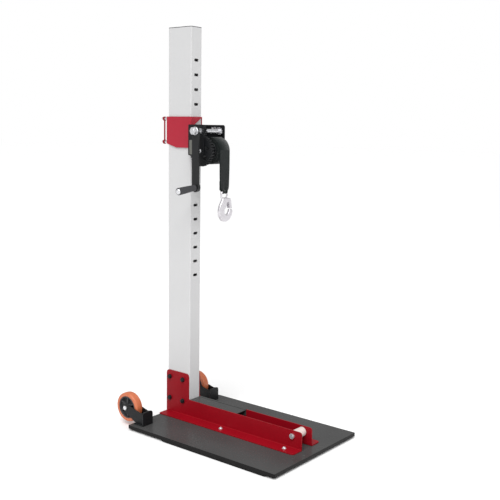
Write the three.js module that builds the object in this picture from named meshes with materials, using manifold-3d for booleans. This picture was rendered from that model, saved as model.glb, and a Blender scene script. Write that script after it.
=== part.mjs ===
// Lifting post with a hand winch on a height-adjustable collar, on a flat base with two rear casters.
// Millimetres, +Z up, front of the post faces -Y, origin at the middle of the footprint on the floor.
import * as THREE from 'three';
import { mergeVertices } from 'three/addons/utils/BufferGeometryUtils.js';
import Module from 'manifold-3d';

const wasm = await Module();
wasm.setup();

// ---- driving dimensions ----
const GAP = 0.2;                 // rest gap between touching pieces
const BASE_W = 433;              // base plate, side to side
const BASE_FRONT = -343;         // base plate front edge
const BASE_REAR = 258.5;         // base plate rear edge
const RUNNER_T = 6;              // runner under each long side
const BASE_T = 12;
const TOP = RUNNER_T + BASE_T;   // height of the base plate's top face
const COL_HALF = 25;             // column half width
const COL_FRONT = 163;           // column front face
const COL_REAR = 263;            // column rear face
const COL_WALL = 2.5;
const COL_TOP = 1303.5;
const SLOT_COUNT = 16;
const SLOT_PITCH = 46.6;
const SLOT_FIRST = TOP + 484;
const SLOT_HALF = 4.5;           // half height of a slot
const SHEET = 3;                 // sheet thickness of side plates, collar and winch frame
const WALL_OUT = COL_HALF + GAP + SHEET;
const WALL_TOP = TOP + 58.5;
const WALL_FRONT = -303;
const TALL_TOP = TOP + 147;
const FLANGE_OUT = 72;
const COLUMN_BOLTS = [[251, 142], [191, 142], [251, 67.5], [191, 67.5]];
const FLANGE_SCREWS = [[-50, 2], [-50, -254]];
const ROLLER = { y: -268.5, z: 58.5, r: 15, shaft: 5 };
const COVER_FRONT = -43.4;
const CASTER = { left: -176, right: 154, y: 294, z: 63, r: 49, width: 27, core: 37, shaft: 4 };
const UPRIGHT = { front: 208, thick: 4, half: 22.4, top: 64 };
const COLLAR = { low: 921.5, high: 1021.5, rear: 268, clear: 0.5 };
const STUD_Z = [938.5, 1015];
const HANDLE_Y = 305;
const FRAME = { left: -43, right: 59, front: 90.2, low: 900, high: 996.5 };
const DRUM = { y: 106, z: 913.5 };
const CRANK = { y: 106, z: 976.5, length: 178.3, shaft: 5, droop: 6.5 };
const PAWL = { y: 134, z: 984 };
const MODULE = 3;
const GEAR_TEETH = 31;
const PINION_TEETH = 11;
const STRAP = { left: 1.2, width: 50, thick: 2.4, roll: 45 };
const HOOK_EYE = { x: 27, z: 773 };
const LATCH = { x: 48, z: 756 };

const group = new THREE.Group();

// ---- materials ----
function mat(color, roughness, metalness) {
  return new THREE.MeshStandardMaterial({ color, roughness, metalness });
}
const RED = () => mat(0xa8162a, 0.35, 0.1);
const BLACK = () => mat(0x1b1c1e, 0.45, 0.2);
const GREY_PAINT = () => mat(0xd6d8da, 0.4, 0.1);
const ZINC = () => mat(0xc9ccd0, 0.3, 0.9);
const NYLON = () => mat(0xe9ddd2, 0.55, 0.0);
const ORANGE = () => mat(0xd4693c, 0.5, 0.0);
const DARK_PLASTIC = () => mat(0x2b2d30, 0.6, 0.0);
const WEBBING = () => mat(0x22272a, 0.9, 0.0);

// ---- solid helpers ----
function solid(geometry) {
  const bare = new THREE.BufferGeometry();
  bare.setAttribute('position', geometry.getAttribute('position').clone());
  if (geometry.index) bare.setIndex(geometry.index.clone());
  const merged = mergeVertices(bare, 1e-4);
  const vertProperties = new Float32Array(merged.getAttribute('position').array);
  const triVerts = new Uint32Array(merged.index.array);
  return new wasm.Manifold(new wasm.Mesh({ numProp: 3, vertProperties, triVerts }));
}

function add(name, shape, material) {
  const mesh = shape.getMesh();
  const geometry = new THREE.BufferGeometry();
  geometry.setAttribute('position', new THREE.BufferAttribute(new Float32Array(mesh.vertProperties), 3));
  geometry.setIndex(new THREE.BufferAttribute(new Uint32Array(mesh.triVerts), 1));
  geometry.computeVertexNormals();
  const node = new THREE.Mesh(geometry, material);
  node.name = name;
  group.add(node);
}

function join(parts) {
  return parts.reduce((whole, part) => whole.add(part));
}

function cut(body, tools) {
  return tools.reduce((rest, tool) => rest.subtract(tool), body);
}

// Basis per extrusion axis: outline points are (Y, Z) for 'x', (X, Z) for 'y' and (X, Y) for 'z'.
function basis(axis) {
  const X = new THREE.Vector3(1, 0, 0);
  const Y = new THREE.Vector3(0, 1, 0);
  const Z = new THREE.Vector3(0, 0, 1);
  const matrix = new THREE.Matrix4();
  if (axis === 'x') return matrix.makeBasis(Y, Z, X);
  if (axis === 'y') return matrix.makeBasis(X, Z, Y.clone().negate());
  return matrix;
}

// Extrude a shape from one position to a higher one along an axis.
function extrude(shape, axis, from, to, options = {}) {
  const bevel = options.bevel ?? 0;
  const geometry = new THREE.ExtrudeGeometry(shape, {
    depth: to - from - 2 * bevel,
    bevelEnabled: bevel > 0,
    bevelSize: bevel,
    bevelThickness: bevel,
    bevelOffset: -bevel,
    bevelSegments: 1,
  });
  const start = axis === 'y' ? -to + bevel : from + bevel;
  geometry.translate(0, 0, start);
  geometry.applyMatrix4(basis(axis));
  return solid(geometry);
}

// Closed outline with an optional rounding radius at each corner: [a, b, radius].
function outline(corners) {
  const shape = new THREE.Shape();
  const count = corners.length;
  corners.forEach(([a, b, radius = 0], i) => {
    const before = corners[(i + count - 1) % count];
    const after = corners[(i + 1) % count];
    const here = new THREE.Vector2(a, b);
    const toBefore = new THREE.Vector2(before[0] - a, before[1] - b).normalize();
    const toAfter = new THREE.Vector2(after[0] - a, after[1] - b).normalize();
    const half = Math.acos(THREE.MathUtils.clamp(toBefore.dot(toAfter), -1, 1)) / 2;
    const reach = radius > 0 ? radius / Math.tan(half) : 0;
    const start = here.clone().addScaledVector(toBefore, reach);
    const end = here.clone().addScaledVector(toAfter, reach);
    if (i === 0) shape.moveTo(start.x, start.y);
    else shape.lineTo(start.x, start.y);
    if (radius > 0) {
      const steps = 4;
      const centre = here.clone().addScaledVector(
        toBefore.clone().add(toAfter).normalize(), radius / Math.sin(half));
      const a0 = Math.atan2(start.y - centre.y, start.x - centre.x);
      let sweep = Math.atan2(end.y - centre.y, end.x - centre.x) - a0;
      if (sweep > Math.PI) sweep -= 2 * Math.PI;
      if (sweep < -Math.PI) sweep += 2 * Math.PI;
      for (let k = 1; k <= steps; k += 1) {
        const angle = a0 + (sweep * k) / steps;
        shape.lineTo(centre.x + radius * Math.cos(angle), centre.y + radius * Math.sin(angle));
      }
    }
  });
  shape.closePath();
  return shape;
}

function box(x0, x1, y0, y1, z0, z1) {
  return extrude(outline([[x0, y0], [x1, y0], [x1, y1], [x0, y1]]), 'z', z0, z1);
}

function roundShape(a, b, radius, segments, phase = 0) {
  const shape = new THREE.Shape();
  for (let i = 0; i < segments; i += 1) {
    const angle = phase + (2 * Math.PI * i) / segments;
    const p = [a + radius * Math.cos(angle), b + radius * Math.sin(angle)];
    if (i === 0) shape.moveTo(...p);
    else shape.lineTo(...p);
  }
  shape.closePath();
  return shape;
}

function rod(axis, a, b, radius, from, to, segments = 20) {
  return extrude(roundShape(a, b, radius, segments), axis, from, to);
}

function hex(axis, a, b, acrossFlats, from, to) {
  return extrude(roundShape(a, b, acrossFlats / Math.sqrt(3), 6), axis, from, to);
}

// Bore radius whose flats clear a shaft by a running fit.
function bore(shaft, segments = 20) {
  return (shaft + 0.06) / Math.cos(Math.PI / segments);
}

// Turned piece about an X axis line: profile is a list of [x, radius].
function turned(y, z, profile, segments = 24) {
  const points = profile.map(([x, r]) => new THREE.Vector2(r, x));
  const geometry = new THREE.LatheGeometry(points, segments);
  const X = new THREE.Vector3(1, 0, 0);
  const Y = new THREE.Vector3(0, 1, 0);
  const Z = new THREE.Vector3(0, 0, 1);
  geometry.applyMatrix4(new THREE.Matrix4().makeBasis(Y, X, Z.negate()));
  geometry.translate(0, y, z);
  return solid(geometry);
}

function gearShape(y, z, teeth, phase) {
  const pitch = (MODULE * teeth) / 2;
  const outer = pitch + 0.85 * MODULE;
  const root = pitch - 1.15 * MODULE;
  const step = (2 * Math.PI) / teeth;
  const shape = new THREE.Shape();
  const tooth = [[-0.30, root], [-0.225, pitch], [-0.12, outer], [0.12, outer], [0.225, pitch], [0.30, root]];
  let started = false;
  for (let i = 0; i < teeth; i += 1) {
    for (const [part, radius] of tooth) {
      const angle = phase + (i + part) * step;
      const p = [y + radius * Math.cos(angle), z + radius * Math.sin(angle)];
      if (started) shape.lineTo(...p);
      else shape.moveTo(...p);
      started = true;
    }
  }
  shape.closePath();
  return shape;
}

// ---- base ----
function buildBase() {
  const corners = 2.5;
  const half = BASE_W / 2;
  const plate = extrude(outline([
    [-half, BASE_FRONT, corners], [half, BASE_FRONT, corners],
    [half, BASE_REAR, corners], [-half, BASE_REAR, corners],
  ]), 'z', RUNNER_T + 0.1, TOP);
  const holes = [];
  for (const side of [-1, 1]) {
    for (const [x, y] of FLANGE_SCREWS) {
      holes.push(rod('z', -side * x, y, 3.3, 0, TOP + 1, 16));
    }
  }
  add('base_plate', cut(plate, holes), BLACK());

  for (const side of [-1, 1]) {
    const inner = side * (half - 34);
    const outer = side * (half - 0.5);
    const low = Math.min(inner, outer);
    const high = Math.max(inner, outer);
    const runner = extrude(outline([
      [-306, 0], [100, 0], [112, RUNNER_T], [-312, RUNNER_T],
    ]), 'x', low, high);
    add(side < 0 ? 'runner_left' : 'runner_right', runner, BLACK());
  }
}

function buildSidePlate(side) {
  const low = TOP + GAP;
  const wall = extrude(outline([
    [WALL_FRONT, low], [267, low], [267, TALL_TOP, 12], [164, TALL_TOP, 12],
    [164, WALL_TOP, 5], [WALL_FRONT, WALL_TOP, 9],
  ]), 'x', COL_HALF + GAP, WALL_OUT);
  const flange = extrude(outline([
    [COL_HALF + GAP, WALL_FRONT], [FLANGE_OUT, WALL_FRONT, 10], [FLANGE_OUT, 262, 6], [COL_HALF + GAP, 262],
  ]), 'z', low, low + SHEET);
  const tools = COLUMN_BOLTS.map(([y, z]) => rod('x', y, z, 4.3, COL_HALF - 1, WALL_OUT + 1, 16));
  tools.push(rod('x', ROLLER.y, ROLLER.z, 5.3, COL_HALF - 1, WALL_OUT + 1, 16));
  for (const [x, y] of FLANGE_SCREWS) {
    tools.push(rod('z', -x, y, 3.3, low - 1, low + SHEET + 1, 16));
  }
  const plate = cut(wall.add(flange), tools);
  add(side < 0 ? 'side_plate_left' : 'side_plate_right', side < 0 ? plate.mirror([1, 0, 0]) : plate, RED());
}

function buildColumn() {
  const outer = extrude(outline([
    [-COL_HALF, COL_FRONT, 3], [COL_HALF, COL_FRONT, 3], [COL_HALF, COL_REAR, 3], [-COL_HALF, COL_REAR, 3],
  ]), 'z', TOP + GAP, COL_TOP);
  const inner = box(-COL_HALF + COL_WALL, COL_HALF - COL_WALL,
    COL_FRONT + COL_WALL, COL_REAR - COL_WALL, TOP - 1, COL_TOP + 1);
  const tools = [inner];
  for (let i = 0; i < SLOT_COUNT; i += 1) {
    const z = SLOT_FIRST + i * SLOT_PITCH;
    const slot = outline([
      [-10, z - SLOT_HALF, 3.4], [10, z - SLOT_HALF, 3.4], [10, z + SLOT_HALF, 3.4], [-10, z + SLOT_HALF, 3.4],
    ]);
    tools.push(extrude(slot, 'y', COL_FRONT - 1, COL_FRONT + COL_WALL + 1));
  }
  for (const [y, z] of COLUMN_BOLTS) {
    tools.push(rod('x', y, z, 4.3, -COL_HALF - 1, COL_HALF + 1, 16));
  }
  add('column', cut(outer, tools), GREY_PAINT());

  const lid = extrude(outline([
    [-COL_HALF, COL_FRONT, 3], [COL_HALF, COL_FRONT, 3], [COL_HALF, COL_REAR, 3], [-COL_HALF, COL_REAR, 3],
  ]), 'z', COL_TOP + 0.1, COL_TOP + 2.1);
  const inset = COL_WALL + 0.3;
  const plug = box(-COL_HALF + inset, COL_HALF - inset, COL_FRONT + inset, COL_REAR - inset,
    COL_TOP - 14, COL_TOP + 1);
  add('column_cap', lid.add(plug), DARK_PLASTIC());
}

function buildCover() {
  const side = COL_HALF - 0.2;
  const lip = 20;
  const top = WALL_TOP - 0.2;
  const channel = outline([
    [-side, top - lip], [-side, top, 2], [side, top, 2], [side, top - lip],
    [side - 2.5, top - lip], [side - 2.5, top - 2.5], [-side + 2.5, top - 2.5], [-side + 2.5, top - lip],
  ]);
  add('cover_plate', extrude(channel, 'y', COVER_FRONT, COL_FRONT - GAP), BLACK());
}

function buildBaseFasteners() {
  COLUMN_BOLTS.forEach(([y, z], i) => {
    const face = WALL_OUT + 0.1;
    add(`column_bolt_${i + 1}`, join([
      rod('x', y, z, 8, -face - 1.6, -face),
      hex('x', y, z, 13, -face - 6.9, -face - 1.5),
      rod('x', y, z, 4, -face - 2, face + 10, 16),
    ]), BLACK());
    const nut = rod('x', y, z, 8, face, face + 1.6).add(hex('x', y, z, 13, face + 1.5, face + 8));
    add(`column_nut_${i + 1}`, cut(nut, [rod('x', y, z, 4.15, face - 1, face + 9, 16)]), BLACK());
  });
  let count = 0;
  for (const side of [-1, 1]) {
    for (const [x, y] of FLANGE_SCREWS) {
      count += 1;
      const seat = TOP + GAP + SHEET + 0.1;
      add(`flange_screw_${count}`, join([
        rod('z', -side * x, y, 7, seat, seat + 1.4),
        extrude(roundShape(-side * x, y, 5.6, 16), 'z', seat + 1.3, seat + 4.8, { bevel: 1 }),
        rod('z', -side * x, y, 3, RUNNER_T + 0.5, seat + 1, 16),
      ]), ZINC());
    }
  }
}

function buildRoller() {
  const { y, z, r, shaft } = ROLLER;
  const half = COL_HALF - 0.5;
  const body = turned(y, z, [[-half, 0], [-half, r - 1], [-half + 1, r], [half - 1, r], [half, r - 1], [half, 0]]);
  add('roller', cut(body, [rod('x', y, z, bore(shaft), -half - 1, half + 1)]), NYLON());
  const face = WALL_OUT + 0.1;
  add('roller_axle', join([
    hex('x', y, z, 16, -face - 6.4, -face),
    rod('x', y, z, shaft, -face - 1, face + 11),
  ]), ZINC());
  add('roller_nut', cut(hex('x', y, z, 16, face, face + 8), [rod('x', y, z, shaft + 0.15, face - 1, face + 9)]),
    ZINC());
}

// ---- casters ----
function buildCaster(side) {
  const name = side < 0 ? 'left' : 'right';
  const { y, z, r, width, core, shaft } = CASTER;
  const x = CASTER[name];
  const half = UPRIGHT.half;
  const front = UPRIGHT.front;
  const back = front + UPRIGHT.thick;
  const low = TOP + GAP;
  const upright = extrude(outline([
    [x - half, low], [x + half, low], [x + half, UPRIGHT.top, 9], [x - half, UPRIGHT.top, 9],
  ]), 'y', front, back);
  const foot = box(x - half, x + half, front, 250, low, low + 4);
  add(`caster_bracket_${name}`, upright.add(foot), BLACK());

  const plate = extrude(outline([
    [x - half + 1, low + 5], [x + half - 1, low + 5], [x + half - 1, UPRIGHT.top - 1, 8],
    [x - half + 1, UPRIGHT.top - 1, 8],
  ]), 'y', back + GAP, back + GAP + SHEET);
  const parts = [plate];
  const legIn = width / 2 + 2;
  const root = back + GAP;
  for (const leg of [-1, 1]) {
    const a = x + leg * legIn;
    const b = x + leg * (legIn + 2.6);
    const blade = outline([
      [root, low + 6, 2], [root + 38, low + 5, 8], [y + 9, z - 12, 9], [y + 11, z + 10, 9], [y - 9, z + 12, 9],
      [root + 16, 60, 8], [root, 60, 2],
    ]);
    parts.push(extrude(blade, 'x', Math.min(a, b), Math.max(a, b)));
  }
  add(`caster_fork_${name}`, cut(join(parts), [rod('x', y, z, shaft + 0.2, x - 30, x + 30, 16)]), BLACK());

  const axle = join([
    hex('x', y, z, 13, x - legIn - 8.2, x - legIn - 2.8),
    rod('x', y, z, shaft, x - legIn - 4, x + legIn + 4, 16),
    hex('x', y, z, 13, x + legIn + 2.8, x + legIn + 9),
  ]);
  add(`caster_axle_${name}`, axle, ZINC());

  const w = width / 2;
  const hub = turned(y, z, [[x - w - 1.2, 0], [x - w - 1.2, 11], [x - 5, 12], [x - 4, 27], [x - w + 1, 32],
    [x - w + 1, core], [x + w - 1, core], [x + w - 1, 32], [x + 4, 27], [x + 5, 12], [x + w + 1.2, 11],
    [x + w + 1.2, 0]], 32);
  add(`caster_core_${name}`, cut(hub, [rod('x', y, z, bore(shaft, 16), x - 20, x + 20, 16)]), DARK_PLASTIC());
  const tyre = turned(y, z, [[x - w, core + GAP], [x - w, r - 4], [x - w + 4, r], [x + w - 4, r],
    [x + w, r - 4], [x + w, core + GAP], [x - w, core + GAP]], 40);
  add(`caster_tyre_${name}`, tyre, ORANGE());
}

// ---- collar ----
function buildCollar() {
  const inX = COL_HALF + COLLAR.clear;
  const outX = inX + SHEET;
  const inY = COL_FRONT - COLLAR.clear;
  const outY = inY - SHEET;
  const sleeve = extrude(outline([
    [-outX, outY, 3], [outX, outY, 3], [outX, COLLAR.rear], [inX, COLLAR.rear],
    [inX, inY], [-inX, inY], [-inX, COLLAR.rear], [-outX, COLLAR.rear],
  ]), 'z', COLLAR.low, COLLAR.high);
  const rearCut = extrude(outline([
    [224.5, COLLAR.low - 1], [COLLAR.rear + 1, COLLAR.low - 1], [COLLAR.rear + 1, 934.3], [224.5, COLLAR.low],
  ]), 'x', -40, 40);
  const window = extrude(outline([
    [outX + 2.5, 1024.2], [-23.5, 988], [outX + 2.5, 988],
  ]), 'y', outY - 1, inY + 0.3);
  const tools = [rearCut, window];
  for (const z of [928, 972]) {
    tools.push(rod('y', 0, z, 4.2, outY - 1, inY + 1, 16));
  }
  add('collar_body', cut(sleeve, tools), RED());

  const keeper = extrude(outline([
    [-inX + GAP, 931, 2], [inX - GAP, 931, 2], [inX - GAP, 1021, 2], [-inX + GAP, 1021, 2],
  ]), 'y', COL_REAR + 1.2, COL_REAR + 5);
  add('keeper_plate', keeper, RED());

  const eyes = STUD_Z.map((z) => rod('y', 0, z, 7, HANDLE_Y - 2.5, HANDLE_Y + 2.5));
  const bar = rod('z', 0, HANDLE_Y, 2.5, STUD_Z[0] + 5, STUD_Z[1] - 5, 16);
  const holes = STUD_Z.map((z) => rod('y', 0, z, 3.2, HANDLE_Y - 4, HANDLE_Y + 4, 16));
  add('handle_bar', cut(join([...eyes, bar]), holes), RED());
  STUD_Z.forEach((z, i) => {
    const place = i === 0 ? 'low' : 'high';
    add(`handle_stud_${place}`, join([
      rod('y', 0, z, 4.5, COL_REAR + 5.2, HANDLE_Y - 2.7),
      rod('y', 0, z, 3, HANDLE_Y - 3, HANDLE_Y + 11, 16),
    ]), ZINC());
    add(`handle_nut_${place}`, cut(hex('y', 0, z, 10, HANDLE_Y + 2.7, HANDLE_Y + 8.7),
      [rod('y', 0, z, 3.15, HANDLE_Y, HANDLE_Y + 12, 16)]), ZINC());
  });
}

// ---- winch ----
function buildFrame() {
  const { left, right, front, low, high } = FRAME;
  const back = COL_FRONT - COLLAR.clear - SHEET - GAP;
  const cheek = outline([
    [back, low], [128, 893.5, 6], [front, 893.5, 10], [front, high, 7], [back, high],
  ]);
  const tools = [];
  const nearCheek = extrude(cheek, 'x', left, left + SHEET);
  const farCheek = extrude(cheek, 'x', right - SHEET, right);
  const web = box(left, right, back - SHEET, back, low, high);
  tools.push(rod('x', DRUM.y, DRUM.z, bore(6), left - 1, right + 1));
  tools.push(rod('x', CRANK.y, CRANK.z, bore(CRANK.shaft), left - 1, right + 1));
  tools.push(rod('x', PAWL.y, PAWL.z, 3.3, right - SHEET - 1, right + 1, 16));
  for (const z of [928, 972]) {
    tools.push(rod('y', 0, z, 4.2, back - SHEET - 1, back + 1, 16));
  }
  add('winch_frame', cut(join([nearCheek, farCheek, web]), tools), BLACK());
  [928, 972].forEach((z, i) => {
    const face = back - SHEET - 0.1;
    add(`frame_bolt_${i === 0 ? 'low' : 'high'}`, join([
      extrude(roundShape(0, z, 7.5, 16), 'y', face - 3.2, face, { bevel: 1 }),
      rod('y', 0, z, 4, face - 2, COL_FRONT - COLLAR.clear - 0.1, 16),
    ]), ZINC());
  });
}

function buildDrum() {
  const { y, z } = DRUM;
  const { left } = STRAP;
  const right = left + STRAP.width;
  const drum = turned(y, z, [[FRAME.left - 4, 0], [FRAME.left - 4, 6], [-28.5, 6], [-28.5, 16], [left - 3.2, 16],
    [left - 3.2, 30], [left - 0.5, 30], [left - 0.5, 16], [right + 0.5, 16], [right + 0.5, 30], [right + 2.8, 30],
    [right + 2.8, 12], [right + 4.4, 12], [right + 4.4, 6], [FRAME.right + 4, 6], [FRAME.right + 4, 0]], 28);
  add('drum', drum, BLACK());
  const wheel = extrude(gearShape(y, z, GEAR_TEETH, Math.PI / 2), 'x', -39, -29);
  const tools = [rod('x', y, z, 6.15, -40, -28)];
  for (let i = 0; i < 5; i += 1) {
    const angle = (2 * Math.PI * i) / 5 + 0.3;
    tools.push(rod('x', y + 27 * Math.cos(angle), z + 27 * Math.sin(angle), 8, -40, -28, 12));
  }
  add('drum_gear', cut(wheel, tools), BLACK());

  const roll = turned(y, z, [[left, 16.3], [left, STRAP.roll - 0.2], [right, STRAP.roll - 0.2],
    [right, 16.3], [left, 16.3]], 40);
  const seat = box(left - 1, right + 1, y - STRAP.roll - 2, y - STRAP.roll + 2.7,
    z - STRAP.roll, z + 0.2);
  add('strap_roll', cut(roll, [seat]), WEBBING());
}

function buildCrank() {
  const { y, z, length, shaft: r } = CRANK;
  const shaft = turned(y, z, [[-81, 0], [-81, 5.9], [-60.7, 5.9], [-60.7, 9], [FRAME.left - 0.4, 9],
    [FRAME.left - 0.4, r], [FRAME.right + 4, r], [FRAME.right + 4, 0]], 20);
  add('crank_shaft', shaft, ZINC());
  // The drum gear has a tooth at its top, so the pinion has a tooth gap at its bottom.
  const pinionPhase = -Math.PI / 2 + Math.PI / PINION_TEETH;
  const pinion = extrude(gearShape(y, z, PINION_TEETH, pinionPhase), 'x', -39.5, -28);
  add('pinion', cut(pinion, [rod('x', y, z, r + 0.15, -41, -27)]), BLACK());

  const ratchet = new THREE.Shape();
  const teeth = 10;
  for (let i = 0; i < teeth; i += 1) {
    const a0 = (2 * Math.PI * i) / teeth;
    const a1 = (2 * Math.PI * (i + 0.92)) / teeth;
    const p0 = [y + 10.2 * Math.cos(a0), z + 10.2 * Math.sin(a0)];
    const p1 = [y + 13 * Math.cos(a1), z + 13 * Math.sin(a1)];
    if (i === 0) ratchet.moveTo(...p0);
    else ratchet.lineTo(...p0);
    ratchet.lineTo(...p1);
  }
  ratchet.closePath();
  const sleeve = join([
    turned(y, z, [[-27.5, 0], [-27.5, 8.5], [-24.5, 8.5], [-17, 6.4], [46, 6.4], [46, 0]]),
    extrude(ratchet, 'x', 45, 51),
  ]);
  add('ratchet_sleeve', cut(sleeve, [rod('x', y, z, r + 0.15, -29, 52)]), ZINC());

  const foot = z - length;
  // The grip and its pin droop a little from the arm.
  const droop = (shape) => shape.translate([63.5, -y, -foot]).rotate([0, -CRANK.droop, 0]).translate([-63.5, y, foot]);
  const arm = outline([
    [y - 14, foot - 13.9, 13.9], [y + 14, foot - 13.9, 13.9], [y + 14, z + 14, 13.9], [y - 14, z + 14, 13.9],
  ]);
  const boss = rod('x', y, foot, 13.9, -61.5, -55, 24);
  add('crank_arm', cut(extrude(arm, 'x', -66, -61).add(boss), [
    rod('x', y, z, 6.05, -67, -60), droop(rod('x', y, foot, 5.1, -70, -50)),
  ]), BLACK());
  const nut = rod('x', y, z, 13, -67.8, -66.2).add(hex('x', y, z, 22, -79.5, -67.7));
  add('crank_nut', cut(nut, [rod('x', y, z, 6.05, -82, -65)]), ZINC());

  const pin = turned(y, foot, [[-146, 0], [-146, 6], [-143.6, 9], [-143.2, 9], [-143.2, 5], [-53.4, 5], [-53.4, 8],
    [-51, 7], [-51, 0]], 20);
  add('grip_pin', droop(pin), ZINC());
  const grip = turned(y, foot, [[-143, 0], [-143, 11], [-141, 11.8], [-130, 11.2], [-100, 10], [-76, 9.4],
    [-71, 10.4], [-68.4, 10.4], [-68.4, 0]], 24);
  add('crank_grip', droop(cut(grip, [rod('x', y, foot, bore(5), -150, -60)])), DARK_PLASTIC());

  const tip = [CRANK.y + 12.2, CRANK.z + 7.6];
  const pawl = outline([
    [PAWL.y - 2, PAWL.z - 5.5, 3], [PAWL.y + 5.5, PAWL.z - 4, 4], [PAWL.y + 5, PAWL.z + 5, 4],
    [tip[0] + 5, tip[1] + 5.5, 1], [tip[0] + 0.8, tip[1]], [tip[0] + 6, tip[1] - 3.5, 1],
  ]);
  add('pawl', join([
    extrude(pawl, 'x', 46, 51),
    rod('x', PAWL.y, PAWL.z, 3, 45, FRAME.right + 2.5, 16),
    rod('x', PAWL.y, PAWL.z, 5, FRAME.right + 0.3, FRAME.right + 2.5, 16),
  ]), ZINC());
}

// ---- strap end and hook ----
function buildStrapTail() {
  const { left, width, thick, roll } = STRAP;
  const y0 = DRUM.y - roll;
  const mid = left + width / 2;
  const barZ = HOOK_EYE.z + 11.5;
  const blade = (y) => {
    const shape = outline([
      [left, DRUM.z - 0.2], [left, 842], [left + 5, 800], [HOOK_EYE.x - 8, barZ + 6.5],
      [HOOK_EYE.x + 8, barZ + 6.5], [left + width - 5, 800], [left + width, 842], [left + width, DRUM.z - 0.2],
    ]);
    return extrude(shape, 'y', y, y + thick);
  };
  const lap = (y) => extrude(outline([
    [left + 2, 834], [left + 5, 800], [HOOK_EYE.x - 8, barZ + 6.5], [HOOK_EYE.x + 8, barZ + 6.5],
    [left + width - 5, 800], [left + width - 2, 834],
  ]), 'y', y, y + thick);
  const cy = y0 + thick;
  const ringIn = 4.7;
  const ringOut = ringIn + thick;
  const loop = cut(rod('x', cy, barZ, ringOut, HOOK_EYE.x - 8, HOOK_EYE.x + 8, 24), [
    rod('x', cy, barZ, ringIn, mid - 30, mid + 30, 24),
  ]);
  add('strap_tail', join([blade(y0), lap(y0 + thick - 0.01), loop]), WEBBING());
}

function buildHook() {
  const cy = DRUM.y - STRAP.roll + STRAP.thick;
  const { x, z } = HOOK_EYE;
  const eye = outline([
    [x - 17, z - 15, 12], [x + 17, z - 15, 12], [x + 17, z + 15, 12], [x - 17, z + 15, 12],
  ]);
  const eyeHole = outline([
    [x - 12, z - 8, 5], [x - 12, z + 8, 5], [x + 12, z + 8, 5], [x + 12, z - 8, 5],
  ]);
  eye.holes.push(eyeHole);
  const ring = extrude(eye, 'y', cy - 3.5, cy + 3.5, { bevel: 1.8 });
  // One forging: neck, wide spine on the left, bowl, and a point that rises on the right to meet the latch.
  const forging = outline([
    [20, 765, 2], [12, 752, 8], [3, 738, 10], [-1.2, 722, 10], [1, 705, 12], [14, 689, 12], [32, 685, 14],
    [50, 690.5, 14], [62, 705, 12], [66, 719, 4], [61, 725.5, 3], [51, 726, 2], [47, 715, 6], [41, 709.5, 4],
    [33, 708.5, 4], [26, 714, 5], [26, 726, 4], [36, 735, 5], [38, 748, 3], [50, 747.5, 3], [54, 753, 3],
    [53, 761, 3], [40, 763, 3],
  ]);
  const body = extrude(forging, 'y', cy - 5, cy + 5, { bevel: 1.6 });
  add('hook', cut(ring.add(body), [rod('y', LATCH.x, LATCH.z, 1.7, cy - 7, cy + 7, 12)]), ZINC());

  const { x: px, z: pz } = LATCH;
  const tip = [55, 727.4];
  const along = new THREE.Vector2(tip[0] - px, tip[1] - pz).normalize();
  const p = (a, b, radius) => [px + along.x * a - along.y * b, pz + along.y * a + along.x * b, radius];
  const reach = Math.hypot(tip[0] - px, tip[1] - pz);
  const cheek = outline([p(-5.5, -6, 5), p(reach - 1.5, -4, 2), p(reach - 1.5, 4.5, 1), p(-5.5, 6, 5)]);
  const web = outline([p(11, 2.9, 0.4), p(reach, 2.9, 0.4), p(reach, 4.5, 0.4), p(11, 4.9, 0.4)]);
  add('hook_latch', join([
    extrude(cheek, 'y', cy - 6.6, cy - 5.2),
    extrude(cheek, 'y', cy + 5.2, cy + 6.6),
    extrude(web, 'y', cy - 6.6, cy + 6.6),
    rod('y', px, pz, 1.5, cy - 7.6, cy + 7.6, 12),
  ]), ZINC());
}

buildBase();
buildSidePlate(-1);
buildSidePlate(1);
buildColumn();
buildCover();
buildBaseFasteners();
buildRoller();
buildCaster(-1);
buildCaster(1);
buildCollar();
buildFrame();
buildDrum();
buildCrank();
buildStrapTail();
buildHook();

export default group;
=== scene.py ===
"""Looks of a free-standing winch lifting post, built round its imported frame, in metres."""
from __future__ import annotations

import logging
import math
from dataclasses import dataclass
from enum import Enum
from typing import Callable, Sequence

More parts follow.
